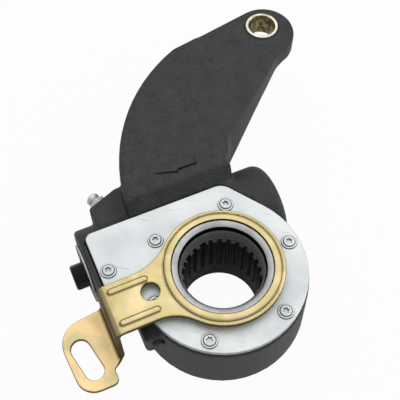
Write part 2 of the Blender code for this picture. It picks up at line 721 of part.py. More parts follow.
def build_bush():
    low = ARM_FACE_Z - ARM_END_THICK - BUSH_PROUD
    high = ARM_FACE_Z + BUSH_PROUD
    edge = 0.0005
    profile = [(PIN_BORE_R, low + edge), (PIN_BORE_R + edge, low), (BUSH_OUTER_R - edge, low),
               (BUSH_OUTER_R, low + edge), (BUSH_OUTER_R, high - edge), (BUSH_OUTER_R - edge, high),
               (PIN_BORE_R + edge, high), (PIN_BORE_R, high - edge)]
    add_object("arm_bush", turned_mesh(profile, SMALL_ROUND + 8), None, "bronze", (0, ARM_LENGTH, 0))


def build_cover(housing):
    bm = prism_mesh(plate_outline(0.0), PLATE_BOTTOM, 0.0)
    bevel(bm, level_edges(bm, 0.0), 0.0003, 1)
    plate = add_object("cover_plate", bm, housing, "zinc")
    gasket = add_object("cover_gasket", prism_mesh(plate_outline(GASKET_INSET), GASKET_TOP - GASKET_THICK,
                                                   GASKET_TOP), housing, "gasket")
    for piece, radius in ((plate, PLATE_HOLE_R), (gasket, RING_CAVITY_R)):
        tool = prism_mesh(circle((0, 0), radius, ROUND), -0.02, 0.02)
        combine(piece, add_object(piece.name + "_eye_cut", tool, housing), "DIFFERENCE")
        for i, place in enumerate(screw_places()):
            tool = prism_mesh(circle(place, SCREW_R + THREAD_GAP, TINY_ROUND), -0.02, 0.02)
            combine(piece, add_object("%s_cut_%d" % (piece.name, i + 1), tool, housing), "DIFFERENCE")


def build_screws(housing):
    under = GAP
    top = under + SCREW_HEAD_HEIGHT
    profile = [(SCREW_R - 0.0004, -SCREW_LENGTH), (SCREW_R, -SCREW_LENGTH + 0.0004), (SCREW_R, under),
               (SCREW_HEAD_R, under), (SCREW_HEAD_R, under + SCREW_HEAD_HEIGHT * 0.45),
               (SCREW_HEAD_R * 0.90, under + SCREW_HEAD_HEIGHT * 0.80), (SCREW_HEAD_R * 0.72, top)]
    star = []
    for i in range(12):
        r = SCREW_RECESS_R if i % 2 == 0 else SCREW_RECESS_R * 0.72
        star.append((r * cos(pi * i / 6), r * sin(pi * i / 6)))
    for i, (u, v) in enumerate(screw_places()):
        name = "cover_screw_%d" % (i + 1)
        screw = add_object(name, rod_mesh(profile, TINY_ROUND), housing, "zinc", (u, v, 0),
                           (0, 0, radians(17 * i)))
        tool = add_object(name + "_star_cut", prism_mesh(star, top - SCREW_RECESS_DEPTH, top + 0.002), screw)
        combine(screw, tool, "DIFFERENCE")


def build_worm_wheel(housing):
    thickness = WORM_PITCH / 2 - BACKLASH / 2
    root_clear = WORM_TIP_R + THROAT_CLEARANCE
    tip_clear = WORM_V - WHEEL_TIP_R
    rings = []
    slices = 6
    for i in range(slices + 1):
        dz = -WHEEL_HALF_WIDTH + 2 * WHEEL_HALF_WIDTH * i / slices
        tip = WORM_V - sqrt(max(tip_clear ** 2 - dz ** 2, 0.0))
        root = WORM_V - sqrt(max(root_clear ** 2 - dz ** 2, 0.0))
        tip = min(tip, WHEEL_MAX_R)
        root = min(root, tip - 0.0004)
        twist = MODULE * dz / (2 * WORM_PITCH_R * WHEEL_PITCH_R)
        phase = pi / 2 + pi / WHEEL_TEETH + twist
        outline = gear_outline(WHEEL_TEETH, WHEEL_PITCH_R, tip, root, thickness, phase, 1)
        rings.append([(x, y, WORM_Z + dz) for x, y in outline])
    wheel = add_object("worm_wheel", loft_mesh(rings), housing, "dark_steel")
    shoulder = WHEEL_PITCH_R - DEDENDUM * MODULE - 0.0008
    hub = rod_mesh([(WHEEL_SLEEVE_R - 0.0004, WHEEL_SLEEVE_TOP),
                    (WHEEL_SLEEVE_R, WHEEL_SLEEVE_TOP - 0.0004),
                    (WHEEL_SLEEVE_R, RING_FLANGE_Z[0] - GAP), (shoulder, RING_FLANGE_Z[0] - GAP - 0.0001),
                    (shoulder, WHEEL_LOW + 0.0005), (WHEEL_REAR_R, WHEEL_LOW - GAP),
                    (WHEEL_REAR_R, WHEEL_REAR_END + 0.0008), (WHEEL_REAR_R - 0.0008, WHEEL_REAR_END)], ROUND)
    combine(wheel, add_object("hub_form", hub, housing), "UNION")
    core = rod_mesh([(WHEEL_COUNTERBORE_R, WHEEL_SLEEVE_TOP + 0.002),
                     (WHEEL_COUNTERBORE_R, WHEEL_COUNTERBORE_Z),
                     (WHEEL_GROOVE_R, WHEEL_COUNTERBORE_Z - 0.0001),
                     (WHEEL_GROOVE_R, WHEEL_COUNTERBORE_Z - WHEEL_GROOVE),
                     (SPLINE_ROOT_R, SPLINE_TOP + 0.0003), (SPLINE_ROOT_R, SPLINE_TOP),
                     (SPLINE_TIP_R, SPLINE_TOP - 0.0010),
                     (SPLINE_TIP_R, WHEEL_REAR_END - 0.002)], SPLINES * 2)
    combine(wheel, add_object("core_cut", core, housing), "DIFFERENCE")
    spline = []
    for i in range(SPLINES):
        a = 2 * pi * i / SPLINES
        for r, share in ((SPLINE_TIP_R - 0.0002, -0.30), (SPLINE_ROOT_R, -0.20),
                         (SPLINE_ROOT_R, 0.20), (SPLINE_TIP_R - 0.0002, 0.30)):
            b = a + share * 2 * pi / SPLINES
            spline.append((r * cos(b), r * sin(b)))
    tool = prism_mesh(spline, SPLINE_BOTTOM, SPLINE_TOP + 0.0001)
    combine(wheel, add_object("spline_cut", tool, housing), "DIFFERENCE")
    tail = prism_mesh(circle((0, 0), SPLINE_ROOT_R + 0.0001, ROUND), WHEEL_REAR_END - 0.003,
                      SPLINE_BOTTOM + 0.0002)
    combine(wheel, add_object("tail_cut", tail, housing), "DIFFERENCE")


def worm_thread_mesh():
    # One trapezoid thread wound round the worm, fading into its root at both ends
    tip_half = (WORM_PITCH / 2 - BACKLASH / 2) / 2 - (WORM_TIP_R - WORM_PITCH_R) * tan(PRESSURE_ANGLE)
    bury = WORM_ROOT_R - 0.0004
    root_half = (WORM_PITCH / 2 - BACKLASH / 2) / 2 + (WORM_PITCH_R - bury) * tan(PRESSURE_ANGLE)
    reach = WORM_HALF_LENGTH - root_half
    steps = 24
    turns = 2 * reach / WORM_PITCH
    count = int(turns * steps)
    fade = steps // 3
    # The thread is centred on the wheel's tooth space at u = 0 on the side that faces the wheel
    start = pi - 2 * pi * (count // 2) / steps
    rings = []
    for i in range(count + 1):
        a = start + 2 * pi * i / steps
        u = WORM_PITCH * (a - pi) / (2 * pi)
        share = min(1.0, i / fade, (count - i) / fade)
        tip = bury + 0.0001 + (WORM_TIP_R - bury - 0.0001) * share
        half = tip_half + (root_half - tip_half) * (WORM_TIP_R - tip) / (WORM_TIP_R - bury)
        section = ((bury, -root_half), (tip, -half), (tip, half), (bury, root_half))
        rings.append([(u + x, r * cos(a), r * sin(a)) for r, x in section])
    return loft_mesh(rings)


def build_worm_shaft(barrel):
    chamfer = 0.0008
    sections = [(HEX_CORNER_R - chamfer, HEX_END_U), (HEX_CORNER_R, HEX_END_U + chamfer),
                (HEX_CORNER_R, HEX_START_U), (JOURNAL_R, HEX_START_U + 0.0002),
                (JOURNAL_R, COLLAR_U[0]), (COLLAR_R, COLLAR_U[0] + 0.0003), (COLLAR_R, COLLAR_U[1]),
                (WORM_ROOT_R, COLLAR_U[1] + 0.0004), (WORM_ROOT_R, WORM_HALF_LENGTH - 0.0004),
                (TAIL_R + 0.0025, WORM_HALF_LENGTH - 0.0002), (TAIL_R + 0.0025, RACE_U - GAP),
                (TAIL_R, RACE_U - GAP + 0.0001), (TAIL_R, BEARING_END_U - 0.0006),
                (TAIL_R - 0.0006, BEARING_END_U)]
    shaft = along_u(barrel, "worm_shaft", rod_mesh(sections, SMALL_ROUND), "dark_steel")
    thread = add_object("thread_form", worm_thread_mesh(), barrel)
    combine(shaft, thread, "UNION")
    # Hexagon milled on the end
    wide = HEX_FLATS
    for i in range(6):
        flat = box_mesh((HEX_END_U - wide, -wide, wide / 2), (HEX_START_U, wide, wide))
        tool = add_object("flat_cut_%d" % (i + 1), flat, barrel, rotation=(HEX_TURN + pi * i / 3, 0, 0))
        combine(shaft, tool, "DIFFERENCE")


def build_pinion(barrel):
    thickness = RACK_PITCH / 2 - BACKLASH / 2
    tip = PINION_PITCH_R + PINION_ADDENDUM * PINION_MODULE
    root = PINION_PITCH_R - DEDENDUM * PINION_MODULE
    # A tooth space faces the rack, which lies on the +z side of the shaft
    outline = gear_outline(PINION_TEETH, PINION_PITCH_R, tip, root, thickness, pi / PINION_TEETH, 2)
    gear = prism_mesh(outline, PINION_U[0], PINION_U[1])
    turn = Matrix.Rotation(pi, 4, "Z")
    bmesh.ops.transform(gear, verts=gear.verts, matrix=turn)
    pinion = along_u(barrel, "pinion", gear, "steel")
    sleeve = rod_mesh([(SLEEVE_R, PINION_U[1] - 0.001), (SLEEVE_R, CLUTCH_U[0] - GAP)], SMALL_ROUND)
    combine(pinion, along_u(barrel, "pinion_sleeve_form", sleeve), "UNION")
    bore_r = JOURNAL_R + GAP
    tool = rod_mesh([(bore_r, PINION_U[0] - 0.002), (bore_r, CLUTCH_U[0] + 0.002)], SMALL_ROUND)
    combine(pinion, along_u(barrel, "pinion_bore_cut", tool), "DIFFERENCE")


def build_clutch(barrel):
    ring = ring_mesh(JOURNAL_R + GAP, SLEEVE_R, CLUTCH_U[0], CLUTCH_U[1], SMALL_ROUND)
    along_u(barrel, "clutch_ring", ring, "steel")
    start = PINION_U[1] + GAP
    length = CLUTCH_U[1] - 0.001 - start
    mean = SLEEVE_R + GAP + ONE_WAY_WIRE_R
    coil = coil_mesh(mean, ONE_WAY_WIRE_R, ONE_WAY_TURNS, length, 14, 4)
    along_u(barrel, "one_way_spring", coil, "spring", at=start)


def build_rack(housing):
    half_pitch = RACK_PITCH / 2 - BACKLASH / 2
    tip_z = RACK_PITCH_Z - PINION_ADDENDUM * PINION_MODULE
    root_z = RACK_PITCH_Z + DEDENDUM * PINION_MODULE
    tip_half = half_pitch / 2 - PINION_ADDENDUM * PINION_MODULE * tan(PRESSURE_ANGLE)
    root_half = half_pitch / 2 + DEDENDUM * PINION_MODULE * tan(PRESSURE_ANGLE)
    outline = [(RACK_HIGH_END, RACK_BACK_Z), (RACK_LOW_END, RACK_BACK_Z), (RACK_LOW_END, RACK_PITCH_Z)]
    first = int(round((RACK_TOOTH_START - WORM_V) / RACK_PITCH))
    last = int((RACK_HIGH_END - root_half - WORM_V) / RACK_PITCH)
    outline.append((WORM_V + (first - 0.5) * RACK_PITCH - 0.0006, RACK_PITCH_Z))
    for k in range(first, last + 1):
        v = WORM_V + k * RACK_PITCH
        outline += [(v - root_half, root_z), (v - tip_half, tip_z)]
        outline += [(v + tip_half, tip_z), (v + root_half, root_z)]
    outline.append((RACK_HIGH_END, root_z))
    rack = add_object("rack", across_u_mesh(outline, RACK_U[0], RACK_U[1]), housing, "steel")
    room = EAR_TIP_R + 0.0003
    notch = box_mesh((RACK_U[1] - EAR_IN_RACK, EAR_V - room, 2 * RACK_PITCH_Z),
                     (RACK_U[1] + 0.002, EAR_V + room, 0.0))
    combine(rack, add_object("notch_cut", notch, housing), "DIFFERENCE")
    # Spring above the rack and the plug that closes its channel
    middle = (RACK_U[0] + RACK_U[1]) / 2
    height = (RACK_BACK_Z + RACK_PITCH_Z - PINION_MODULE) / 2
    length = CHANNEL_END_V - GAP - (RACK_HIGH_END + GAP)
    coil = coil_mesh(RACK_SPRING_R, RACK_SPRING_WIRE_R, RACK_SPRING_TURNS, length, 10, 4)
    add_object("rack_spring", coil, housing, "spring",
               (middle, RACK_HIGH_END + GAP, height), (-pi / 2, 0, 0))
    low = RACK_PITCH_Z - PINION_MODULE - 0.0004
    plug = box_mesh((RACK_U[0] - 0.0001, CHANNEL_MOUTH_V, low + GAP),
                    (RACK_U[1] + 0.0001, CHANNEL_MOUTH_V + RACK_PLUG_LENGTH, RACK_BACK_Z))
    bevel(plug, plug.edges[:], 0.0004, 1)
    add_object("rack_plug", plug, housing, "dark_steel")


def build_control_ring(housing):
    edge = 0.0005
    low, high = RING_FLANGE_Z
    profile = [(RING_INNER_R, low), (RING_FLANGE_R, low), (RING_FLANGE_R, high), (RING_OUTER_R, high),
               (RING_OUTER_R, RING_TOP - edge), (RING_OUTER_R - edge, RING_TOP),
               (RING_INNER_R + 0.0012, RING_TOP - 0.0004), (RING_INNER_R, RING_TOP - 0.0012)]
    ring = add_object("control_ring", turned_mesh(profile, ROUND), housing, "steel")
    neck = EAR_NECK / 2
    shift = sqrt(EAR_TIP_R ** 2 - neck ** 2)
    start = atan2(-neck, -shift)
    outline = [(RING_FLANGE_R - 0.003, -neck)]
    outline += arc((EAR_REACH, 0), EAR_TIP_R, start, -start, 10)
    outline += [(RING_FLANGE_R - 0.003, neck)]
    ear = prism_mesh(outline, low + 0.0003, high - 0.0003)
    tool = add_object("ear_form", ear, housing, rotation=(0, 0, pi - CONTROL_TRAVEL / 2))
    combine(ring, tool, "UNION")
    seal = ring_mesh(SEAL_INNER_R, SEAL_OUTER_R, PLATE_BOTTOM + GAP, -GAP, ROUND)
    add_object("ring_seal", seal, housing, "rubber")


def blank_outline():
    # Outline of the control arm before it is bent; s runs away from the eye
    developed = BEND_U + BEND_R * pi + RISER_DROP
    shift = developed - (BEND_U + 2 * BEND_R)
    points = []
    for side, fillet in ((1, WAIST_FILLET_HIGH), (-1, WAIST_FILLET_LOW)):
        reach = EYE_R + fillet
        rise = WAIST_HALF + fillet
        along = sqrt(reach * reach - rise * rise)
        touch = atan2(rise, along)
        curve = arc((along, rise), fillet, touch + pi, 1.5 * pi, 7)
        curve = [(s, side * v) for s, v in curve]
        points.append((touch, curve))
    (high_touch, high), (low_touch, low) = points
    outline = arc((0, 0), EYE_R, high_touch, 2 * pi - low_touch, 40)[:-1]
    outline += low
    # The foot of the riser flares into a lobe and the tab's neck
    flare = (BEND_U + BEND_R * pi / 2 + RISER_DROP * FLARE_START, -WAIST_HALF)
    foot = (developed - FLARE_BEFORE_TAB, FLARE_V)
    lobe = (shift - LOBE_CORNER[0], LOBE_CORNER[1])
    neck = (shift - TAB_NECK[0], TAB_NECK[1])
    inner = (shift - TAB_INNER_U, TAB_LOW_V)
    outer = (shift - TAB_OUTER_U, TAB_HIGH_V)
    low_outer = (outer[0] - TAB_TAPER, TAB_LOW_V)
    back = (developed + 0.001, TAB_HIGH_V + TAB_RISE)
    outline += [flare, foot]
    outline += round_corner(foot, lobe, neck, LOBE_ROUND, 2)
    outline += round_corner(lobe, neck, inner, TAB_NECK_FILLET, 5)
    outline += round_corner(neck, inner, low_outer, TAB_INNER_ROUND, 3)
    outline += round_corner(inner, low_outer, outer, TAB_END_ROUND, 6)
    outline += round_corner(low_outer, outer, back, TAB_CORNER, 7)
    outline += [back, (back[0] - 0.010, WAIST_HALF)]
    outline += list(reversed(high))
    return outline


def bend_point(s, t):
    # Place of a point of the sheet once it is bent: s along the blank, t above its middle
    arc_length = BEND_R * pi / 2
    d = s - BEND_U
    if d <= 0:
        return -s, SHEET_MID + t
    if d <= arc_length:
        a = d / BEND_R
        return -BEND_U - (BEND_R + t) * sin(a), SHEET_MID - BEND_R + (BEND_R + t) * cos(a)
    d -= arc_length
    if d <= RISER_DROP:
        return -BEND_U - BEND_R - t, SHEET_MID - BEND_R - d
    d -= RISER_DROP
    floor = SHEET_MID - BEND_R - RISER_DROP
    if d <= arc_length:
        a = d / BEND_R
        return -BEND_U - 2 * BEND_R + (BEND_R - t) * cos(a), floor - (BEND_R - t) * sin(a)
    d -= arc_length
    return -BEND_U - 2 * BEND_R - d, floor - BEND_R + t


def build_control_arm(housing):
    bm = prism_mesh(blank_outline(), -SHEET / 2, SHEET / 2)
    bend_steps = 4
    arc_length = BEND_R * pi / 2
    cuts = [BEND_U + arc_length * i / bend_steps for i in range(bend_steps + 1)]
    cuts += [BEND_U + arc_length + RISER_DROP + arc_length * i / bend_steps for i in range(bend_steps + 1)]
    for s in cuts:
        bmesh.ops.bisect_plane(bm, geom=bm.verts[:] + bm.edges[:] + bm.faces[:],
                               plane_co=(s, 0, 0), plane_no=(1, 0, 0))
    for v in bm.verts:
        u, z = bend_point(v.co.x, v.co.z)
        v.co = Vector((u, v.co.y, z))
    arm = add_object("control_arm", bm, housing, "yellow_zinc")
    for side in (1, -1):
        middle = side * RIB_V
        rib = prism_mesh(arc((RIB_U[1], middle), RIB_HALF, -pi / 2, pi / 2, 6)
                         + arc((RIB_U[0], middle), RIB_HALF, pi / 2, 1.5 * pi, 6),
                         SHEET_MID, SHEET_BOTTOM + SHEET + RIB_HEIGHT)
        bevel(rib, level_edges(rib, SHEET_BOTTOM + SHEET + RIB_HEIGHT), 0.0006, 2)
        combine(arm, add_object("rib_form_high" if side > 0 else "rib_form_low", rib, housing), "UNION")
    eye = prism_mesh(circle((0, 0), RING_OUTER_R + GAP, ROUND), -0.01, 0.02)
    combine(arm, add_object("eye_cut", eye, housing), "DIFFERENCE")
    sight = prism_mesh(circle(SIGHT_HOLE, SIGHT_HOLE_R, SMALL_ROUND), -0.01, 0.02)
    combine(arm, add_object("sight_cut", sight, housing), "DIFFERENCE")
    straight = SLOT_LENGTH / 2 - SLOT_R
    slot = prism_mesh(arc((0, straight), SLOT_R, 0, pi, 8) + arc((0, -straight), SLOT_R, pi, 2 * pi, 8),
                      TAB_BOTTOM - 0.005, TAB_BOTTOM + SHEET + 0.005)
    tool = add_object("slot_cut", slot, housing, location=(SLOT_CENTRE[0], SLOT_CENTRE[1], 0),
                      rotation=(0, 0, SLOT_LEAN))
    combine(arm, tool, "DIFFERENCE")


def build_end_cap(barrel):
    face = BARREL_LEFT - GAP
    outer = face - CAP_FLANGE
    plug_r = BORE_R - THREAD_GAP
    inner = face + CAP_PLUG_LENGTH
    profile = [(CAP_HOLE_R, outer), (CAP_FLANGE_R - 0.0006, outer), (CAP_FLANGE_R, outer + 0.0006),
               (CAP_FLANGE_R, face), (plug_r, face), (plug_r, inner), (CAP_HOLE_R, inner)]
    along_u(barrel, "worm_cap", turned_mesh(profile, SMALL_ROUND + 8), "dark_steel")
    seal = ring_mesh(JOURNAL_R + GAP, CAP_HOLE_R - GAP, outer + 0.0004, outer + 0.0004 + 0.004, SMALL_ROUND)
    along_u(barrel, "worm_seal", seal, "rubber")


def build_thrust_bearing(barrel):
    u = RACE_U
    for name in ("thrust_race_inner", "thrust_race_outer"):
        race = ring_mesh(RACE_INNER_R, RACE_OUTER_R, u, u + RACE_THICK, SMALL_ROUND)
        along_u(barrel, name, race, "steel")
        if name == "thrust_race_inner":
            middle = u + RACE_THICK + GAP + BALL_R
            u += RACE_THICK + 2 * BALL_R + 2 * GAP
    cage = ring_mesh(RACE_INNER_R, RACE_OUTER_R, -CAGE_THICK / 2, CAGE_THICK / 2, SMALL_ROUND)
    cage = along_u(barrel, "ball_cage", cage, "bronze", at=middle)
    for i in range(BALLS):
        a = 2 * pi * i / BALLS + pi / SMALL_ROUND
        x = BALL_CIRCLE_R * cos(a)
        y = BALL_CIRCLE_R * sin(a)
        tool = prism_mesh(circle((x, y), BALL_R + GAP, TINY_ROUND), -0.003, 0.003)
        combine(cage, along_u(barrel, "pocket_cut_%d" % (i + 1), tool, at=middle), "DIFFERENCE")
        ball = bmesh.new()
        bmesh.ops.create_icosphere(ball, subdivisions=2, radius=BALL_R)
        bmesh.ops.translate(ball, verts=ball.verts, vec=(x, y, 0))
        along_u(barrel, "thrust_ball_%d" % (i + 1), ball, "steel", at=middle)


def build_spring_end(barrel):
    cup_r = BORE_R - GAP
    low = BEARING_END_U + GAP
    cup = rod_mesh([(cup_r, low), (cup_r, low + CUP_THICK), (CUP_SPIGOT_R, low + CUP_THICK + 0.0001),
                    (CUP_SPIGOT_R, low + CUP_THICK + CUP_SPIGOT)], SMALL_ROUND)
    cup = along_u(barrel, "spring_cup", cup, "steel")
    well = rod_mesh([(TAIL_R - 0.0012, low - 0.002), (TAIL_R - 0.0012, low + CUP_THICK + 0.0015)], TINY_ROUND)
    combine(cup, along_u(barrel, "cup_well_cut", well), "DIFFERENCE")
    cap_start = BARREL_RIGHT - 0.0005 - SPRING_CAP_LENGTH
    spring_start = low + CUP_THICK + GAP
    length = cap_start - GAP - spring_start
    coil = coil_mesh(SPRING_MEAN_R, SPRING_WIRE_R, SPRING_TURNS, length, 18, 6)
    along_u(barrel, "strong_spring", coil, "spring", at=spring_start)
    plug_r = BORE_R - THREAD_GAP
    end = cap_start + SPRING_CAP_LENGTH
    plug = rod_mesh([(plug_r, cap_start), (plug_r, end - 0.0006), (plug_r - 0.0006, end)], SMALL_ROUND + 8)
    plug = along_u(barrel, "spring_cap", plug, "dark_steel")
    socket = prism_mesh(circle((0, 0), SPRING_CAP_SOCKET / 2 / cos(pi / 6), 6), end - SPRING_CAP_SOCKET_DEPTH,
                        end + 0.002)
    combine(plug, along_u(barrel, "socket_cut", socket), "DIFFERENCE")


def build_rear_seal(housing):
    # Lip seal over the wheel's rear hub, against the boss
    profile = [(WHEEL_REAR_R + GAP, REAR_BOSS_END - GAP), (REAR_BOSS_R - 0.0020, REAR_BOSS_END - GAP),
               (REAR_BOSS_R - 0.0024, REAR_BOSS_END - 0.0018), (WHEEL_REAR_R + GAP, REAR_BOSS_END - 0.0022)]
    add_object("rear_seal", turned_mesh(profile, ROUND), housing, "rubber")


def build_nipple(housing):
    axis = bpy.data.objects["nipple_axis"]
    base = GAP
    stem_r = NIPPLE_HOLE_R - THREAD_GAP
    head = base + NIPPLE_HEX_HEIGHT
    top = base + NIPPLE_HEIGHT
    ball = NIPPLE_BALL_R
    wide = NIPPLE_HEX_FLATS
    profile = [(stem_r - 0.0004, -NIPPLE_STEM), (stem_r, 0.0005 - NIPPLE_STEM), (stem_r, base),
               (NIPPLE_HEX_R, base), (NIPPLE_HEX_R, head), (0.0026, head + 0.0005),
               (0.0020, head + 0.0010), (0.0020, head + 0.0014),
               (ball * 0.86, top - ball), (ball, top - ball * 0.72), (ball * 0.88, top - ball * 0.32),
               (ball * 0.48, top)]
    nipple = add_object("grease_nipple", rod_mesh(profile, 18), axis, "zinc")
    for i in range(6):
        flat = box_mesh((-wide, wide / 2, base - 0.0002), (wide, wide, head + 0.0002))
        tool = add_object("nipple_flat_cut_%d" % (i + 1), flat, axis, rotation=(0, 0, pi * i / 3))
        combine(nipple, tool, "DIFFERENCE")


def main():
    clear_scene()
    housing = add_empty("housing_frame", rotation=(0, 0, BARREL_TURN))
    barrel = add_empty("worm_axis", (0, WORM_V, WORM_Z), parent=housing)
    build_casting(housing, barrel)
    build_bush()
    build_cover(housing)
    build_screws(housing)
    build_worm_wheel(housing)
    build_worm_shaft(barrel)
    build_pinion(barrel)
    build_clutch(barrel)
    build_rack(housing)
    build_control_ring(housing)
    build_control_arm(housing)
    build_end_cap(barrel)
    build_thrust_bearing(barrel)
    build_spring_end(barrel)
    build_rear_seal(housing)
    build_nipple(housing)
    bpy.context.view_layer.update()


main()
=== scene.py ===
import json
from math import atan2, cos, hypot, pi, radians, sin

import bmesh
import bpy
from mathutils import Matrix, Vector


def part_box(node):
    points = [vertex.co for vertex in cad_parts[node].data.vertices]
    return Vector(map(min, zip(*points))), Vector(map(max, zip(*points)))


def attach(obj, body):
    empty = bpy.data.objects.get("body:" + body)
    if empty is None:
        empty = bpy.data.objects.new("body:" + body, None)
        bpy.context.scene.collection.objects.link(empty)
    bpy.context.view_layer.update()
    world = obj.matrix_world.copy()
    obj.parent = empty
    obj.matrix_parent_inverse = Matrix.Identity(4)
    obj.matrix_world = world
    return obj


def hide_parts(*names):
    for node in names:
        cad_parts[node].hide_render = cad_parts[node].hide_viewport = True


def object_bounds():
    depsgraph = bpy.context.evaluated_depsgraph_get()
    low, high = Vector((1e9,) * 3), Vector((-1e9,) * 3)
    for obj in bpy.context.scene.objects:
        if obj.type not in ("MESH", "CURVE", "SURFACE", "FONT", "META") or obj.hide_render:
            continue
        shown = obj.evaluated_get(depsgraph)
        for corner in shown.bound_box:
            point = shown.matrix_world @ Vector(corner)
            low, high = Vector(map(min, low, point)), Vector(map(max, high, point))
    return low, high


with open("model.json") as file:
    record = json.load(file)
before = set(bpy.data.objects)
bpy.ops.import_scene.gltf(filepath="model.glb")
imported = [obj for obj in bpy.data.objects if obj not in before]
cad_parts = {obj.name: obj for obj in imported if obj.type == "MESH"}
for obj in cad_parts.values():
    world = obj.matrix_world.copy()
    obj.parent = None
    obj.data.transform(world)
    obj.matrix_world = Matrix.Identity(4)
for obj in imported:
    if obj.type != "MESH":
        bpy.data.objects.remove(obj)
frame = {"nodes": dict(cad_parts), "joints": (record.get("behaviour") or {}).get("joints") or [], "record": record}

# Lengths are in metres, and angles in the dictionaries in degrees.
# "Along the barrel" is the worm's axis, which lies turned in the housing.
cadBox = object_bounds()
nodes = frame["nodes"]
wormJoint = next(joint for joint in frame["joints"] if joint["name"] == "worm_spin")
wormAxis = Vector(wormJoint["axis"])
wormPoint = Vector(wormJoint["pos_m"])
housingTurn = Matrix.Rotation(atan2(wormAxis.y, wormAxis.x), 4, "Z")
barrelPlace = Matrix.Translation(wormPoint) @ housingTurn @ Matrix.Rotation(pi / 2, 4, "Y")
print("frame: %d nodes" % len(nodes))


# Small tools for meshes

meshShape = {
    "weldDistance": 0.000002,
    "flatAngle": 0.5,
    "sharpAngle": 35,
    "roundedAngle": 28,
    "smoothFactor": 0.5,
    "profileSteps": 4,
    "turnedSegments": 96,
}


def linkedObject(name, bm):
    # An object of the shape, in the scene
    mesh = bpy.data.meshes.new(name)
    bm.to_mesh(mesh)
    bm.free()
    made = bpy.data.objects.new(name, mesh)
    bpy.context.scene.collection.objects.link(made)
    return made


def addPiece(name, bm, body, material, sharpAngle=meshShape["sharpAngle"]):
    bmesh.ops.recalc_face_normals(bm, faces=bm.faces)
    piece = linkedObject(name, bm)
    piece.data.shade_smooth()
    piece.data.set_sharp_from_angle(angle=radians(sharpAngle))
    piece.data.materials.append(material)
    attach(piece, body)
    return piece


def paintFaces(piece, material, chosen):
    # Gives a second finish to the faces that a test on centre and normal picks
    piece.data.materials.append(material)
    for face in piece.data.polygons:
        if chosen(face.center, face.normal):
            face.material_index = 1


def welded(bm):
    bmesh.ops.remove_doubles(bm, verts=bm.verts, dist=meshShape["weldDistance"])
    return bm


def copiedForm(nodeName):
    # A welded copy of a CAD solid, with its flat faces made whole again
    bm = bmesh.new()
    bm.from_mesh(nodes[nodeName].data)
    bmesh.ops.dissolve_limit(welded(bm), angle_limit=radians(meshShape["flatAngle"]),
                             verts=bm.verts, edges=bm.edges)
    return bm


def evaluatedForm(bm, addModifiers):
    # The shape after live modifiers, as a new bmesh
    work = linkedObject("work", bm)
    addModifiers(work)
    bpy.context.view_layer.update()
    depsgraph = bpy.context.evaluated_depsgraph_get()
    shaped = bpy.data.meshes.new_from_object(work.evaluated_get(depsgraph))
    result = bmesh.new()
    result.from_mesh(shaped)
    bpy.data.objects.remove(work)
    bpy.data.meshes.remove(shaped)
    return result


def softened(bm, voxel, passes):
    # Blends the edges of a solid as casting or stamping does
    def addModifiers(work):
        remesh = work.modifiers.new("blend", "REMESH")
        remesh.mode = "VOXEL"
        remesh.voxel_size = voxel
        remesh.adaptivity = 0.0
        smooth = work.modifiers.new("smooth", "SMOOTH")
        smooth.factor = meshShape["smoothFactor"]
        smooth.iterations = passes
    return evaluatedForm(bm, addModifiers)


def edgeRounded(bm, width, segments=2):
    def addModifiers(work):
        bevel = work.modifiers.new("round", "BEVEL")
        bevel.width = width
        bevel.segments = segments
        bevel.limit_method = "ANGLE"
        bevel.angle_limit = radians(meshShape["roundedAngle"])
        bevel.use_clamp_overlap = True
    return evaluatedForm(bm, addModifiers)


def roundedProfile(corners):
    # Corners are (radius, height, rounding); each rounding becomes a short curve
    points = []
    count = len(corners)
    steps = meshShape["profileSteps"]
    for i, (r, z, rounding) in enumerate(corners):
        corner = Vector((r, z))
        if rounding == 0:
            points.append((r, z))
            continue
        before = (Vector(corners[i - 1][:2]) - corner).normalized() * rounding
        after = (Vector(corners[(i + 1) % count][:2]) - corner).normalized() * rounding
        for k in range(steps + 1):
            t = k / steps
            place = corner + before * (1 - t) ** 2 + after * t ** 2
            points.append((place.x, place.y))
    return points


def turnedForm(corners, segments=meshShape["turnedSegments"]):
    points = roundedProfile(corners)
    bm = bmesh.new()
    verts = [bm.verts.new((r, 0, z)) for r, z in points]
    edges = [bm.edges.new(pair) for pair in zip(verts, verts[1:])]
    if points[0][0] > 0:
        edges.append(bm.edges.new((verts[-1], verts[0])))
    bmesh.ops.spin(bm, geom=verts + edges, cent=(0, 0, 0), axis=(0, 0, 1), angle=2 * pi,
                   steps=segments, use_merge=True, use_duplicate=False)
    return welded(bm)


def raisedCorners(bm, faces, height):
    # Extrudes faces straight up and gives the corners that rose
    made = bmesh.ops.extrude_face_region(bm, geom=faces)["geom"]
    corners = [v for v in made if isinstance(v, bmesh.types.BMVert)]
    bmesh.ops.translate(bm, verts=corners, vec=(0, 0, height))
    return corners


def edgeBevelled(bm, corners, offset):
    # Bevels the edges that run between the given corners
    edges = [e for e in bm.edges if all(v in corners for v in e.verts)]
    bmesh.ops.bevel(bm, geom=edges, offset=offset, segments=2, profile=0.5, affect="EDGES",
                    material=-1)


def moved(bm, matrix):
    bmesh.ops.transform(bm, matrix=matrix, verts=bm.verts)
    return bm


def middleOf(nodeName):
    low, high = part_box(nodeName)
    return (Vector(low) + Vector(high)) / 2


# Shader tools

def addNode(tree, kind, values=None, **settings):
    node = tree.nodes.new(kind)
    for key, value in settings.items():
        setattr(node, key, value)
    for key, value in (values or {}).items():
        node.inputs[key].default_value = value
    return node


def newMaterial(name, base):
    # A material with its plain inputs set, and the coordinates that its patterns read
    material = bpy.data.materials.new(name)
    material.use_nodes = True
    tree = material.node_tree
    shader = tree.nodes["Principled BSDF"]
    for key, value in base.items():
        shader.inputs[key].default_value = value
    return material, tree, shader, addNode(tree, "ShaderNodeTexCoord").outputs


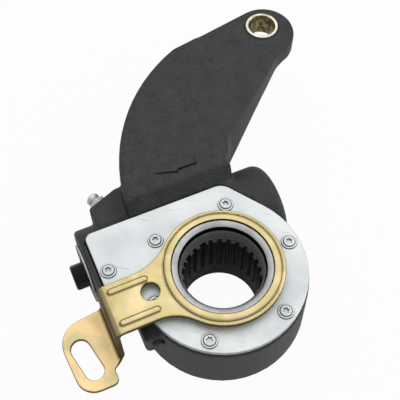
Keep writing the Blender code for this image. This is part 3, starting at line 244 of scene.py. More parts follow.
def newGroup(name, inputs, outputs):
    group = bpy.data.node_groups.new(name, "ShaderNodeTree")
    for socketName, kind, value in inputs:
        socket = group.interface.new_socket(name=socketName, in_out="INPUT", socket_type=kind)
        if value is not None:
            socket.default_value = value
    for socketName, kind in outputs:
        group.interface.new_socket(name=socketName, in_out="OUTPUT", socket_type=kind)
    return group, group.nodes.new("NodeGroupInput"), group.nodes.new("NodeGroupOutput")


def useGroup(tree, group, source, values):
    # Places a group with its own values; the source feeds its first input
    node = tree.nodes.new("ShaderNodeGroup")
    node.node_tree = group
    for key, value in values.items():
        node.inputs[key].default_value = value
    tree.links.new(source, node.inputs[0])
    return node.outputs


def blendColours(tree, mask, first, second):
    # Mask 0 gives the first colour or socket, mask 1 the second
    mix = addNode(tree, "ShaderNodeMix", data_type="RGBA")
    tree.links.new(mask, mix.inputs["Factor"])
    for key, value in (("A", first), ("B", second)):
        if isinstance(value, tuple):
            mix.inputs[key].default_value = (*value, 1.0)
        else:
            tree.links.new(value, mix.inputs[key])
    return mix.outputs["Result"]


def addRamp(tree, value, stops):
    # A colour ramp over a value, with its stops given as place and colour from low to high
    ramp = addNode(tree, "ShaderNodeValToRGB")
    elements = ramp.color_ramp.elements
    for element, (place, colour) in zip(elements, (stops[0], stops[-1])):
        element.position = place
        element.color = (*colour, 1.0)
    for place, colour in stops[1:-1]:
        elements.new(place).color = (*colour, 1.0)
    tree.links.new(value, ramp.inputs["Fac"])
    return ramp.outputs["Color"]


def rangeOf(tree, value, low, high):
    # Stretches a mask to a range of values, such as a roughness
    node = addNode(tree, "ShaderNodeMapRange", {"To Min": low, "To Max": high})
    tree.links.new(value, node.inputs["Value"])
    return node.outputs["Result"]


def addBump(tree, shader, height, distance):
    bump = addNode(tree, "ShaderNodeBump", {"Distance": distance, "Strength": 1.0})
    tree.links.new(height, bump.inputs["Height"])
    tree.links.new(bump.outputs["Normal"], shader.inputs["Normal"])


def makeGrainGroup():
    # Fine grain over slow unevenness, for cast, stamped and rolled metal
    group, inside, outside = newGroup(
        "surfaceGrain",
        (("Vector", "NodeSocketVector", None), ("Fine Scale", "NodeSocketFloat", 1200.0),
         ("Coarse Scale", "NodeSocketFloat", 120.0), ("Coarse Share", "NodeSocketFloat", 0.4)),
        (("Mask", "NodeSocketFloat"), ("Height", "NodeSocketFloat")))
    link = group.links.new
    fine = addNode(group, "ShaderNodeTexNoise", {"Detail": 3.0, "Roughness": 0.6})
    coarse = addNode(group, "ShaderNodeTexNoise", {"Detail": 2.0, "Roughness": 0.5})
    for noise, scale in ((fine, "Fine Scale"), (coarse, "Coarse Scale")):
        link(inside.outputs["Vector"], noise.inputs["Vector"])
        link(inside.outputs[scale], noise.inputs["Scale"])
    height = addNode(group, "ShaderNodeMix", data_type="FLOAT")
    link(inside.outputs["Coarse Share"], height.inputs["Factor"])
    link(fine.outputs["Fac"], height.inputs["A"])
    link(coarse.outputs["Fac"], height.inputs["B"])
    mask = addNode(group, "ShaderNodeMapRange", {"From Min": 0.35, "From Max": 0.65})
    link(height.outputs["Result"], mask.inputs["Value"])
    link(mask.outputs["Result"], outside.inputs["Mask"])
    link(height.outputs["Result"], outside.inputs["Height"])
    return group


def makeWearAndHighlightGroup():
    # Corners lightened from the mesh's own curvature: partly rubbed bright by handling, partly a painted highlight
    # along the edges
    group, inside, outside = newGroup(
        "rubbedEdgesAndHighlight",
        (("Vector", "NodeSocketVector", None), ("Start", "NodeSocketFloat", 0.54),
         ("Full", "NodeSocketFloat", 0.62)),
        (("Mask", "NodeSocketFloat"),))
    link = group.links.new
    geometry = addNode(group, "ShaderNodeNewGeometry")
    edge = addNode(group, "ShaderNodeMapRange")
    link(geometry.outputs["Pointiness"], edge.inputs["Value"])
    link(inside.outputs["Start"], edge.inputs["From Min"])
    link(inside.outputs["Full"], edge.inputs["From Max"])
    broken = addNode(group, "ShaderNodeTexNoise", {"Scale": 400.0, "Detail": 2.0})
    link(inside.outputs["Vector"], broken.inputs["Vector"])
    both = addNode(group, "ShaderNodeMath", operation="MULTIPLY")
    link(edge.outputs["Result"], both.inputs[0])
    link(broken.outputs["Fac"], both.inputs[1])
    link(both.outputs["Value"], outside.inputs["Mask"])
    return group


def makeMarksGroup():
    # Long fine scratches with soft smudges between them
    group, inside, outside = newGroup(
        "handlingMarks",
        (("Vector", "NodeSocketVector", None), ("Smudge Scale", "NodeSocketFloat", 60.0)),
        (("Scratches", "NodeSocketFloat"), ("Smudges", "NodeSocketFloat")))
    link = group.links.new
    stretch = addNode(group, "ShaderNodeMapping",
                      {"Rotation": (0.3, 0.2, 0.9), "Scale": (1.0, 14.0, 14.0)})
    link(inside.outputs["Vector"], stretch.inputs["Vector"])
    lines = addNode(group, "ShaderNodeTexNoise", {"Scale": 60.0, "Detail": 4.0, "Roughness": 0.7})
    link(stretch.outputs["Vector"], lines.inputs["Vector"])
    thin = addNode(group, "ShaderNodeMapRange", {"From Min": 0.62, "From Max": 0.72})
    link(lines.outputs["Fac"], thin.inputs["Value"])
    clouds = addNode(group, "ShaderNodeTexNoise", {"Detail": 3.0, "Roughness": 0.55})
    link(inside.outputs["Vector"], clouds.inputs["Vector"])
    link(inside.outputs["Smudge Scale"], clouds.inputs["Scale"])
    spread = addNode(group, "ShaderNodeMapRange", {"From Min": 0.35, "From Max": 0.65})
    link(clouds.outputs["Fac"], spread.inputs["Value"])
    link(thin.outputs["Result"], outside.inputs["Scratches"])
    link(spread.outputs["Result"], outside.inputs["Smudges"])
    return group


def makeSteepShadeGroup():
    # Painted shade on bends, beads and edges, where a stamped face turns away from level
    group, inside, outside = newGroup(
        "steepFaceShade",
        (("Normal", "NodeSocketVector", None), ("Steep", "NodeSocketFloat", 0.4),
         ("Level", "NodeSocketFloat", 0.95)),
        (("Mask", "NodeSocketFloat"),))
    link = group.links.new
    split = addNode(group, "ShaderNodeSeparateXYZ")
    link(inside.outputs["Normal"], split.inputs["Vector"])
    tilt = addNode(group, "ShaderNodeMath", operation="ABSOLUTE")
    link(split.outputs["Z"], tilt.inputs[0])
    spread = addNode(group, "ShaderNodeMapRange", {"To Min": 1.0, "To Max": 0.0})
    link(tilt.outputs["Value"], spread.inputs["Value"])
    link(inside.outputs["Steep"], spread.inputs["From Min"])
    link(inside.outputs["Level"], spread.inputs["From Max"])
    link(spread.outputs["Result"], outside.inputs["Mask"])
    return group


grain = makeGrainGroup()
wearAndHighlight = makeWearAndHighlightGroup()
marks = makeMarksGroup()
steepShade = makeSteepShadeGroup()


# Materials

castIronLook = {
    "base": {"Roughness": 0.6, "Metallic": 0.15},
    "dark": (0.0075, 0.008, 0.009),
    "light": (0.049, 0.050, 0.052),
    "rubbedAndHighlight": (0.10, 0.10, 0.105),
    "roughness": (0.46, 0.64),
    "grain": {"Fine Scale": 1100.0, "Coarse Scale": 150.0, "Coarse Share": 0.30},
    "grainDepth": 0.00055,
    "wearAndHighlight": {"Start": 0.53, "Full": 0.66},
}
blackLook = {
    "base": {"Roughness": 0.3, "Metallic": 0.0, "Specular IOR Level": 0.12},
    "dark": (0.006, 0.006, 0.0065),
    "light": (0.014, 0.014, 0.015),
    "rubbedAndHighlight": (0.10, 0.10, 0.105),
    "roughness": (0.24, 0.40),
    "grain": {"Fine Scale": 1800.0, "Coarse Scale": 260.0, "Coarse Share": 0.5},
    "grainDepth": 0.00004,
    "wearAndHighlight": {"Start": 0.53, "Full": 0.60},
}
hubLook = {
    **blackLook,
    "base": {"Roughness": 0.3, "Metallic": 0.0, "Specular IOR Level": 0.40},
    "dark": (0.090, 0.090, 0.091),
    "light": (0.130, 0.130, 0.132),
    "rubbedAndHighlight": (0.16, 0.16, 0.16),
    "roughness": (0.40, 0.55),
}
# Near black: the splines' own dark finish with the shade of the deep bore painted in. The same finish is painted
# shade on the arrow, the ring's inner wall and the rack parts
splineLook = {
    **blackLook,
    "base": {"Roughness": 0.3, "Metallic": 0.0, "Specular IOR Level": 0.05},
    "dark": (0.0015, 0.0015, 0.0015),
    "light": (0.004, 0.004, 0.0042),
    "rubbedAndHighlight": (0.05, 0.05, 0.05),
    "roughness": (0.45, 0.65),
}


def makeDark(name, look):
    # Grainy dark iron or black oxide, lighter on its corners: partly rubbed bright, partly a painted highlight
    material, tree, shader, coords = newMaterial(name, look["base"])
    link = tree.links.new
    skin = useGroup(tree, grain, coords["Object"], look["grain"])
    rubbedAndHighlight = useGroup(tree, wearAndHighlight, coords["Object"], look["wearAndHighlight"])
    body = blendColours(tree, skin["Mask"], look["dark"], look["light"])
    link(blendColours(tree, rubbedAndHighlight["Mask"], body, look["rubbedAndHighlight"]), shader.inputs["Base Color"])
    link(rangeOf(tree, skin["Mask"], *look["roughness"]), shader.inputs["Roughness"])
    addBump(tree, shader, skin["Height"], look["grainDepth"])
    return material


zincLook = {
    "base": {"Roughness": 0.45, "Metallic": 0.75},
    "pale": (0.76, 0.785, 0.785),
    "grey": (0.67, 0.71, 0.72),
    "scratch": (0.50, 0.52, 0.54),
    # The edge colour is painted shade on steep faces
    "edge": (0.40, 0.41, 0.42),
    "roughness": (0.48, 0.58),
    "marks": {"Smudge Scale": 45.0},
    "steepShade": {"Steep": 0.30, "Level": 0.90},
    "grain": {"Fine Scale": 2600.0, "Coarse Scale": 500.0, "Coarse Share": 0.3},
    "grainDepth": 0.00003,
}
nippleLook = {
    **zincLook,
    "pale": (0.82, 0.83, 0.83),
    "grey": (0.66, 0.67, 0.68),
    "edge": (0.62, 0.63, 0.63),
    "roughness": (0.34, 0.44),
}


def makeZinc(name, look):
    material, tree, shader, coords = newMaterial(name, look["base"])
    link = tree.links.new
    handled = useGroup(tree, marks, coords["Object"], look["marks"])
    skin = useGroup(tree, grain, coords["Object"], look["grain"])
    edges = useGroup(tree, steepShade, coords["Normal"], look["steepShade"])
    clouded = blendColours(tree, handled["Smudges"], look["pale"], look["grey"])
    marked = blendColours(tree, handled["Scratches"], clouded, look["scratch"])
    # Steep faces take the darker edge colour: painted shade
    link(blendColours(tree, edges["Mask"], marked, look["edge"]), shader.inputs["Base Color"])
    link(rangeOf(tree, handled["Smudges"], *look["roughness"]), shader.inputs["Roughness"])
    addBump(tree, shader, skin["Height"], look["grainDepth"])
    return material


goldLook = {
    "base": {"Roughness": 0.32, "Metallic": 0.9},
    "green": (0.63, 0.58, 0.28),
    "yellow": (0.70, 0.58, 0.28),
    "straw": (0.74, 0.635, 0.355),
    "pink": (0.96, 0.71, 0.375),
    "bandPlaces": {"green": 0.30, "yellow": 0.42, "straw": 0.56, "pink": 0.72},
    "bendShade": (0.085, 0.062, 0.022),
    "roughness": (0.42, 0.56),
    "film": {"Scale": 55.0, "Detail": 2.0, "Distortion": 1.4},
    "tabLevel": -0.016,
    "tabWarmth": 0.21,
    "marks": {"Smudge Scale": 90.0},
    "steepShade": {"Steep": 0.50, "Level": 0.975},
    "grain": {"Fine Scale": 2200.0, "Coarse Scale": 300.0, "Coarse Share": 0.5},
    "grainDepth": 0.00005,
}


def makeGold(look):
    # Yellow passivated zinc, whose film shifts between straw, pink and green
    material, tree, shader, coords = newMaterial("yellowZinc", look["base"])
    link = tree.links.new
    film = addNode(tree, "ShaderNodeTexNoise", look["film"])
    link(coords["Object"], film.inputs["Vector"])
    # The film is warmer down on the tab than on the flat
    height = addNode(tree, "ShaderNodeSeparateXYZ")
    link(coords["Object"], height.inputs["Vector"])
    low = addNode(tree, "ShaderNodeMapRange", {"From Min": 0.0, "From Max": look["tabLevel"],
                                               "To Min": 0.0, "To Max": look["tabWarmth"]})
    link(height.outputs["Z"], low.inputs["Value"])
    warmed = addNode(tree, "ShaderNodeMath", operation="ADD")
    link(film.outputs["Fac"], warmed.inputs[0])
    link(low.outputs["Result"], warmed.inputs[1])
    bands = addRamp(tree, warmed.outputs["Value"],
                    [(place, look[colour]) for colour, place in look["bandPlaces"].items()])
    handled = useGroup(tree, marks, coords["Object"], look["marks"])
    skin = useGroup(tree, grain, coords["Object"], look["grain"])
    shadedBends = useGroup(tree, steepShade, coords["Normal"], look["steepShade"])
    # Steep faces take the dark bend colour: painted shade
    link(blendColours(tree, shadedBends["Mask"], bands, look["bendShade"]), shader.inputs["Base Color"])
    link(rangeOf(tree, handled["Smudges"], *look["roughness"]), shader.inputs["Roughness"])
    addBump(tree, shader, skin["Height"], look["grainDepth"])
    return material


turnedLook = {
    "base": {"Roughness": 0.35, "Metallic": 0.95},
    "bright": (0.63, 0.63, 0.63),
    "dull": (0.50, 0.50, 0.505),
    "roughness": (0.50, 0.68),
    "marks": {"Smudge Scale": 120.0},
    "lines": {"Scale": 2600.0, "Detail": 2.0},
    "lineDepth": 0.00004,
}


def makeTurned(name, look, centre, axis):
    # Fine lathe lines round an axis
    material, tree, shader, coords = newMaterial(name, look["base"])
    link = tree.links.new

    def vectorMath(operation, vector, fixed=None):
        node = addNode(tree, "ShaderNodeVectorMath", operation=operation)
        link(vector, node.inputs[0])
        if fixed is not None:
            node.inputs[1].default_value = fixed
        return node.outputs
    fromCentre = vectorMath("SUBTRACT", coords["Object"], centre)["Vector"]
    across = vectorMath("CROSS_PRODUCT", fromCentre, axis)["Vector"]
    where = addNode(tree, "ShaderNodeCombineXYZ")
    link(vectorMath("LENGTH", across)["Value"], where.inputs["X"])
    link(vectorMath("DOT_PRODUCT", fromCentre, axis)["Value"], where.inputs["Y"])
    lines = addNode(tree, "ShaderNodeTexNoise", look["lines"])
    link(where.outputs["Vector"], lines.inputs["Vector"])
    handled = useGroup(tree, marks, coords["Object"], look["marks"])
    colour = blendColours(tree, handled["Smudges"], look["bright"], look["dull"])
    link(colour, shader.inputs["Base Color"])
    link(rangeOf(tree, lines.outputs["Fac"], *look["roughness"]), shader.inputs["Roughness"])
    addBump(tree, shader, lines.outputs["Fac"], look["lineDepth"])
    return material


softLook = {
    "recess": {"colour": (0.025, 0.026, 0.028), "roughness": 0.6, "fineScale": 900.0},
    "rubber": {"colour": (0.012, 0.012, 0.013), "roughness": 0.6, "fineScale": 1500.0},
    "fibre": {"colour": (0.050, 0.045, 0.040), "roughness": 0.85, "fineScale": 2400.0},
    "grain": {"Coarse Scale": 200.0, "Coarse Share": 0.5},
    "grainDepth": 0.00006,
    "lighterBy": (1.7, 0.006),  # the grain's light colour is so many times the colour, plus so much
}


def makeSoft(name, look, kind):
    # Rubber, gasket fibre and the shade in the screws' recesses
    own = look[kind]
    base = {"Roughness": own["roughness"], "Metallic": 0.0}
    material, tree, shader, coords = newMaterial(name, base)
    skin = useGroup(tree, grain, coords["Object"], {**look["grain"], "Fine Scale": own["fineScale"]})
    times, plus = look["lighterBy"]
    lighter = tuple(times * c + plus for c in own["colour"])
    colour = blendColours(tree, skin["Mask"], own["colour"], lighter)
    tree.links.new(colour, shader.inputs["Base Color"])
    addBump(tree, shader, skin["Height"], look["grainDepth"])
    return material


bronzeLook = {
    "base": {"Roughness": 0.38, "Metallic": 0.85},
    "rim": ((0.80, 0.77, 0.68), (0.62, 0.56, 0.42)),
    "bore": ((0.34, 0.27, 0.12), (0.065, 0.048, 0.020)),
    "roughness": (0.28, 0.5),
    "smudgeScale": {"rim": 260.0, "bore": 420.0},
}


def makeBronze(name, look, place):
    material, tree, shader, coords = newMaterial(name, look["base"])
    link = tree.links.new
    handled = useGroup(tree, marks, coords["Object"], {"Smudge Scale": look["smudgeScale"][place]})
    link(blendColours(tree, handled["Smudges"], *look[place]), shader.inputs["Base Color"])
    link(rangeOf(tree, handled["Smudges"], *look["roughness"]), shader.inputs["Roughness"])
    return material


castIron = makeDark("castIron", castIronLook)
blackOxide = makeDark("blackOxide", blackLook)
hubBlack = makeDark("hubBlack", hubLook)
splineBlackAndShade = makeDark("splineBlackAndShade", splineLook)
paleZinc = makeZinc("paleZinc", zincLook)
nippleZinc = makeZinc("nippleZinc", nippleLook)
yellowZinc = makeGold(goldLook)
turnedSteel = makeTurned("turnedSteel", turnedLook, (0, 0, 0), (0, 0, 1))
barrelSteel = makeTurned("barrelSteel", turnedLook, tuple(wormPoint), tuple(wormAxis))
recessShade = makeSoft("recessShade", softLook, "recess")
sealRubber = makeSoft("sealRubber", softLook, "rubber")
gasketFibre = makeSoft("gasketFibre", softLook, "fibre")
bushBronze = makeBronze("bushBronze", bronzeLook, "rim")
boreBronze = makeBronze("boreBronze", bronzeLook, "bore")
print("materials made")


# The cast lever and housing

castingShape = {
    "voxel": 0.00086,
    "passes": 3,
    "sharpAngle": 60,
    "draftFoot": (-0.00685, 0.0615),
    "draftTurn": 75.5,
    "draftDepth": 0.0042,
    "draftAhead": 0.0012,
    "draftReach": 0.014,
    "draftLevels": (-0.012, 0.0055),
    "draftEnds": (0.0625, 0.0745, 0.118),
}


def leanFrontWall(bm, shape):
    # The lever's front wall leans back, from nothing at its foot to most at its top near the root
    foot = Vector(shape["draftFoot"])
    turn = radians(shape["draftTurn"])
    inward = Vector((-sin(turn), cos(turn)))
    low, high = shape["draftLevels"]
    start, full, stop = shape["draftEnds"]
    for vert in bm.verts:
        inside = (vert.co.xy - foot).dot(inward)
        if not -shape["draftAhead"] < inside < shape["draftReach"]:
            continue
        near = min(max((vert.co.y - start) / (full - start), 0), 1)
        far = min(max((stop - vert.co.y) / (stop - full), 0), 1)
        height = min(max((vert.co.z - low) / (high - low), 0), 1)
        fading = 1 - max(inside, 0) / shape["draftReach"]
        share = near * near * (3 - 2 * near) * far * height * fading
        vert.co.xy += inward * shape["draftDepth"] * share


casting = softened(copiedForm("body_casting"), castingShape["voxel"], castingShape["passes"])
leanFrontWall(casting, castingShape)
castingPiece = addPiece("castingSkin", casting, "housing", castIron,
                        castingShape["sharpAngle"])
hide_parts("body_casting")
print("casting: %d faces" % len(castingPiece.data.polygons))

# Arrow cast on the lever's root, as outline points along and across the barrel
arrowShape = {
    "tip": -0.0100,
    "length": 0.0206,
    "headLength": 0.0104,
    "headHalf": 0.0033,
    "shaftHalf": 0.0021,
    "across": 0.0578,
    "foot": 0.0052,
    "top": 0.0068,
    "edgeRound": 0.00018,
    "sharpAngle": 40,
    "sideTilt": 0.3,
    "shadeDrop": 0.0008,
    "shadeSlide": 0.0004,
    "shadeTop": 0.0066,
}


def makeArrowForm(shape, slide, across, top):
    tip = shape["tip"] + slide
    head = tip + shape["headLength"]
    tail = tip + shape["length"]
    side = [(head, -shape["headHalf"]), (head, -shape["shaftHalf"]), (tail, -shape["shaftHalf"])]
    outline = [(tip, 0.0)] + side + [(u, -v) for u, v in reversed(side)]
    bm = bmesh.new()
    face = bm.faces.new([bm.verts.new((u, v + across, shape["foot"])) for u, v in outline])
    edgeBevelled(bm, raisedCorners(bm, [face], top - shape["foot"]), shape["edgeRound"])
    return moved(bm, housingTurn)


arrowForm = makeArrowForm(arrowShape, 0, arrowShape["across"], arrowShape["top"])
arrowPiece = addPiece("castArrow", arrowForm, "housing", castIron,
                      arrowShape["sharpAngle"])
# Painted shade: the arrow's side walls take the near-black finish, which shows along its lower side
paintFaces(arrowPiece, splineBlackAndShade, lambda centre, normal: normal.z < arrowShape["sideTilt"])
# Painted shadow: a near-black sheet just under the arrow, which shows along its lower side and its tail
arrowShadowSheet = makeArrowForm(arrowShape, arrowShape["shadeSlide"],
                          arrowShape["across"] - arrowShape["shadeDrop"], arrowShape["shadeTop"])
addPiece("arrowShadowSheet", arrowShadowSheet, "housing", splineBlackAndShade, arrowShape["sharpAngle"])


# Cover plate and screws

plateShape = {
    "edgeRound": 0.00022,
    "sharpAngle": 12,
}

plate = edgeRounded(copiedForm("cover_plate"), plateShape["edgeRound"])
platePiece = addPiece("platePressing", plate, "housing", paleZinc, plateShape["sharpAngle"])
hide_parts("cover_plate")

screwShape = {
    "count": 7,
    "turnStep": 23,  # between one screw's star and the next one's
    "segments": 48,
    "rimRadius": 0.0038,
    "rimHeight": 0.0006,
    "grooveRadius": 0.00302,
    "grooveDepth": 0.0004,
    "domeRadius": 0.00275,
    "domeHeight": 0.0012,
    "domeRound": 0.0006,
    "shankRadius": 0.0019,
    "shankEnd": -0.007,
    "edgeRound": 0.0003,
    "lip": 0.0001,
    # A thin ring round the head's foot, there to carry a painted shadow on the plate
    "shadowRingRadius": 0.00392,
    "shadowRingLevels": (0.00002, 0.00010, 0.00012),
    "shadowRingRound": 0.00003,
    "starCorners": 12,
    "starRadius": 0.0018,
    "starWaist": 0.68,
    "starDepth": 0.0011,
    "cutterHeight": 0.003,
    "wallTilt": 0.5,
}


def makeStarForm(shape):
    # The cutter of the recess, every other corner drawn in
    bm = bmesh.new()
    bmesh.ops.create_circle(bm, cap_ends=True, segments=shape["starCorners"],
                            radius=shape["starRadius"])
    for i, corner in enumerate(sorted(bm.verts, key=lambda v: atan2(v.co.y, v.co.x))):
        if i % 2:
            corner.co *= shape["starWaist"]
    raisedCorners(bm, bm.faces[:], shape["cutterHeight"])
    bmesh.ops.translate(bm, verts=bm.verts, vec=(0, 0, shape["domeHeight"] - shape["starDepth"]))
    bmesh.ops.recalc_face_normals(bm, faces=bm.faces)
    return bm


def makeScrewForm(shape):
    shank, seat, rim = shape["shankRadius"], shape["shadowRingRadius"], shape["rimRadius"]
    groove, dome = shape["grooveRadius"], shape["domeRadius"]
    under, shadowRingTop, rimFoot = shape["shadowRingLevels"]
    end, rimTop, domeTop = shape["shankEnd"], shape["rimHeight"], shape["domeHeight"]
    grooveFloor = rimTop - shape["grooveDepth"]
    edge, lip = shape["edgeRound"], shape["lip"]
    # The ring at the seat levels carries the painted shadow round the head
    head = turnedForm([
        (0, end, 0), (shank, end, edge), (shank, under, 0), (seat, under, 0),
        (seat, shadowRingTop, shape["shadowRingRound"]), (rim, rimFoot, 0), (rim, rimTop, edge),
        (groove, rimTop + lip, lip), (groove - lip, grooveFloor, lip / 2), (dome, grooveFloor, lip),
        (dome, domeTop, shape["domeRound"]), (0, domeTop, 0)], shape["segments"])
    cutter = linkedObject("starCutter", makeStarForm(shape))

    def addModifiers(work):
        cut = work.modifiers.new("star", "BOOLEAN")
        cut.operation = "DIFFERENCE"
        cut.object = cutter
    bmesh.ops.recalc_face_normals(head, faces=head.faces)
    result = evaluatedForm(head, addModifiers)
    bpy.data.objects.remove(cutter)
    return result


screwForm = makeScrewForm(screwShape)
for i in range(screwShape["count"]):
    nodeName = "cover_screw_%d" % (i + 1)
    middle = middleOf(nodeName)
    starTurn = Matrix.Rotation(radians(screwShape["turnStep"] * i), 4, "Z")
    screw = moved(screwForm.copy(), Matrix.Translation((middle.x, middle.y, 0)) @ starTurn)
    screwPiece = addPiece("screw_%d" % (i + 1), screw, "housing", paleZinc)

    def inShade(centre, normal):
        # Painted shade: the thin ring round the head, the groove, and the walls of the star
        reach = hypot(centre.x - middle.x, centre.y - middle.y)
        if reach > screwShape["rimRadius"]:
            return True
        if reach > screwShape["domeRadius"] - screwShape["lip"]:
            return centre.z < screwShape["rimHeight"] - screwShape["lip"]
        inStar = reach < screwShape["starRadius"] and centre.z > 0
        return inStar and abs(normal.z) < screwShape["wallTilt"]
    paintFaces(screwPiece, recessShade, inShade)
    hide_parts(nodeName)
screwForm.free()
print("cover: plate and screws")


# Control arm: stamped sheet with a raised bead round its eye

armShape = {
    "voxel": 0.00042,
    "passes": 2,
    "sharpAngle": 60,
    "top": 0.0050,
    "bottom": 0.0030,
    "sunk": 0.0004,
    "sunkInset": 0.0003,
    "beadSegments": 160,
    "beadInner": 0.02398,
    "beadOuter": 0.0275,
    "beadHeight": 0.0006,
    "beadFoot": 0.0015,
    "innerRound": 0.00025,
    "crownInset": 0.0004,
    "crownRound": 0.0014,
    "grooveDepth": 0.0003,
    "grooveWidth": 0.0003,
    "grooveRound": 0.00015,
    "lipRadius": 0.0282,
    "lipStart": (0.0004, 0.00005),  # out from the bead, and up from the sheet
    "lipEnd": 0.00002,
    "lipRound": 0.0001,
}

arm = softened(copiedForm("control_arm"), armShape["voxel"], armShape["passes"])
# The sheet sinks a little under the bead, which covers it
sunkReach = armShape["lipRadius"] - armShape["sunkInset"]
for vert in arm.verts:
    if vert.co.z > armShape["bottom"] and hypot(vert.co.x, vert.co.y) < sunkReach:
        vert.co.z -= armShape["sunk"]
armPiece = addPiece("armPressing", arm, "control", yellowZinc, armShape["sharpAngle"])
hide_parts("control_arm")


def makeBeadForm(shape):
    inner, outer, lip = shape["beadInner"], shape["beadOuter"], shape["lipRadius"]
    top, foot = shape["top"], shape["top"] - shape["beadFoot"]
    crown, groove = top + shape["beadHeight"], top - shape["grooveDepth"]
    lipOut, lipUp = shape["lipStart"]
    lipRound = shape["lipRound"]
    return turnedForm([
        (inner, foot, 0), (inner, crown, shape["innerRound"]),
        (outer - shape["crownInset"], crown, shape["crownRound"]),
        (outer, groove, shape["grooveRound"]), (outer + shape["grooveWidth"], groove, lipRound),
        (outer + lipOut, top + lipUp, lipRound), (lip, top + shape["lipEnd"], lipRound),
        (lip, foot, 0)], shape["beadSegments"])


addPiece("eyeBead", makeBeadForm(armShape), "control", yellowZinc,
         armShape["sharpAngle"])

ringShape = {
    "edgeRound": 0.00015,
    "wallTilt": 0.3,
    "innerReach": 0.0210,
}

ring = edgeRounded(copiedForm("control_ring"), ringShape["edgeRound"])
ringPiece = addPiece("ringTurned", ring, "control", turnedSteel)
# Painted shade: the ring's inner wall takes the near-black finish, for the dark gap down to the wheel
paintFaces(ringPiece, splineBlackAndShade, lambda centre, normal: abs(normal.z) < ringShape["wallTilt"]
           and hypot(centre.x, centre.y) < ringShape["innerReach"])
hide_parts("control_ring")
print("control arm: %d faces" % len(armPiece.data.polygons))


# Worm wheel, worm and their ends

wheelShape = {
    "edgeRound": 0.00012,
    "edgeSegments": 1,
    "splineTop": -0.0056,
    "splineReach": 0.0193,
    "toothEnd": -0.0063,
    "bevelTilt": 0.4,
}

wheel = edgeRounded(copiedForm("worm_wheel"), wheelShape["edgeRound"], wheelShape["edgeSegments"])
wheelPiece = addPiece("wheelHub", wheel, "wheel", hubBlack)


def inSplines(centre, normal):
    # All but the bevelled tooth ends, which keep the lighter finish as a painted highlight. The splines' near
    # black is partly painted shade of the deep bore
    toothEnd = normal.z > wheelShape["bevelTilt"] and centre.z < wheelShape["toothEnd"]
    return (centre.z < wheelShape["splineTop"]
            and hypot(centre.x, centre.y) < wheelShape["splineReach"] and not toothEnd)


paintFaces(wheelPiece, splineBlackAndShade, inSplines)
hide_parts("worm_wheel")

wormShape = {
    "edgeRound": 0.00025,
}

wormEnd = edgeRounded(copiedForm("worm_shaft"), wormShape["edgeRound"])
wormPiece = addPiece("wormHexagon", wormEnd, "worm", blackOxide)
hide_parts("worm_shaft")

capShape = {
    "outerRadius": 0.0150,
    "holeRadius": 0.0086,
    "thickness": 0.0010,
    "plugLength": 0.006,
    "plugRadius": 0.0122,
    "dishDepth": 0.0003,
    "innerBand": (0.0015, 0.0018),  # out from the hole to the dish's edge and to its floor
    "outerBand": (0.0018, 0.0022),  # in from the outer edge to the same two places
    "roundings": (0.0002, 0.0003, 0.0004),
    "rimReach": 0.0146,
}


def makeCapForm(shape, face):
    hole, outer, plug = shape["holeRadius"], shape["outerRadius"], shape["plugRadius"]
    out, end = face - shape["thickness"], face + shape["plugLength"]
    floor = out + shape["dishDepth"]
    innerEdge, innerFloor = shape["innerBand"]
    outerEdge, outerFloor = shape["outerBand"]
    small, medium, large = shape["roundings"]
    form = turnedForm([
        (hole, out, small), (hole + innerEdge, out, small), (hole + innerFloor, floor, small),
        (outer - outerFloor, floor, small), (outer - outerEdge, out, medium), (outer, out, large),
        (outer, face, medium), (plug, face, 0), (plug, end, large), (hole, end, medium)])
    return moved(form, barrelPlace)


def lowestAlong(nodeName, axis, point):
    # Where a node's points start along an axis, from a point on it
    return min((v.co - point).dot(axis) for v in nodes[nodeName].data.vertices)


capFace = lowestAlong("worm_cap", wormAxis, wormPoint) + capShape["thickness"]
capPiece = addPiece("wormCap", makeCapForm(capShape, capFace), "housing", blackOxide)


# A pale zinc rim round the black face: partly the cap's zinc, partly a painted highlight for the glint along its
# edge
def onRim(centre, normal):
    offset = centre - wormPoint
    return (offset - wormAxis * offset.dot(wormAxis)).length > capShape["rimReach"]


paintFaces(capPiece, paleZinc, onRim)
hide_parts("worm_cap")

springCapShape = {
    "edgeRound": 0.0003,
}

springCap = edgeRounded(copiedForm("spring_cap"), springCapShape["edgeRound"])
springCapPiece = addPiece("springCap", springCap, "housing", blackOxide)
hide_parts("spring_cap")
print("worm end and caps")


# Grease nipple

nippleShape = {
    "segments": 64,
    "lean": 21,  # from straight across the barrel
    "seat": 0.0045,  # from the solid's end in its boss up to the hexagon
    "shankRadius": 0.0029,
    "shankEnd": -0.0040,
    "shoulder": 0.0004,
    "hexagon": 0.0047,
    "flats": 0.0040,
    "hexLift": 0.0003,
    "hexHeight": 0.0032,
    "hexRound": 0.0002,
    "collar": (0.0027, 0.0004),
    "neck": 0.0020,
    "neckRise": 0.0009,
    "ball": 0.0035,
    "ballSwell": 1.02,
    "ballLevels": (1.35, 0.95, 0.45),  # down from the top, in radii of the ball
    "height": 0.0082,
    "mouth": (0.0013, 0.0011),
    "mouthDepth": (0.0003, 0.0005),
    "roundings": (0.0001, 0.0003, 0.0004, 0.0006, 0.0009),
}


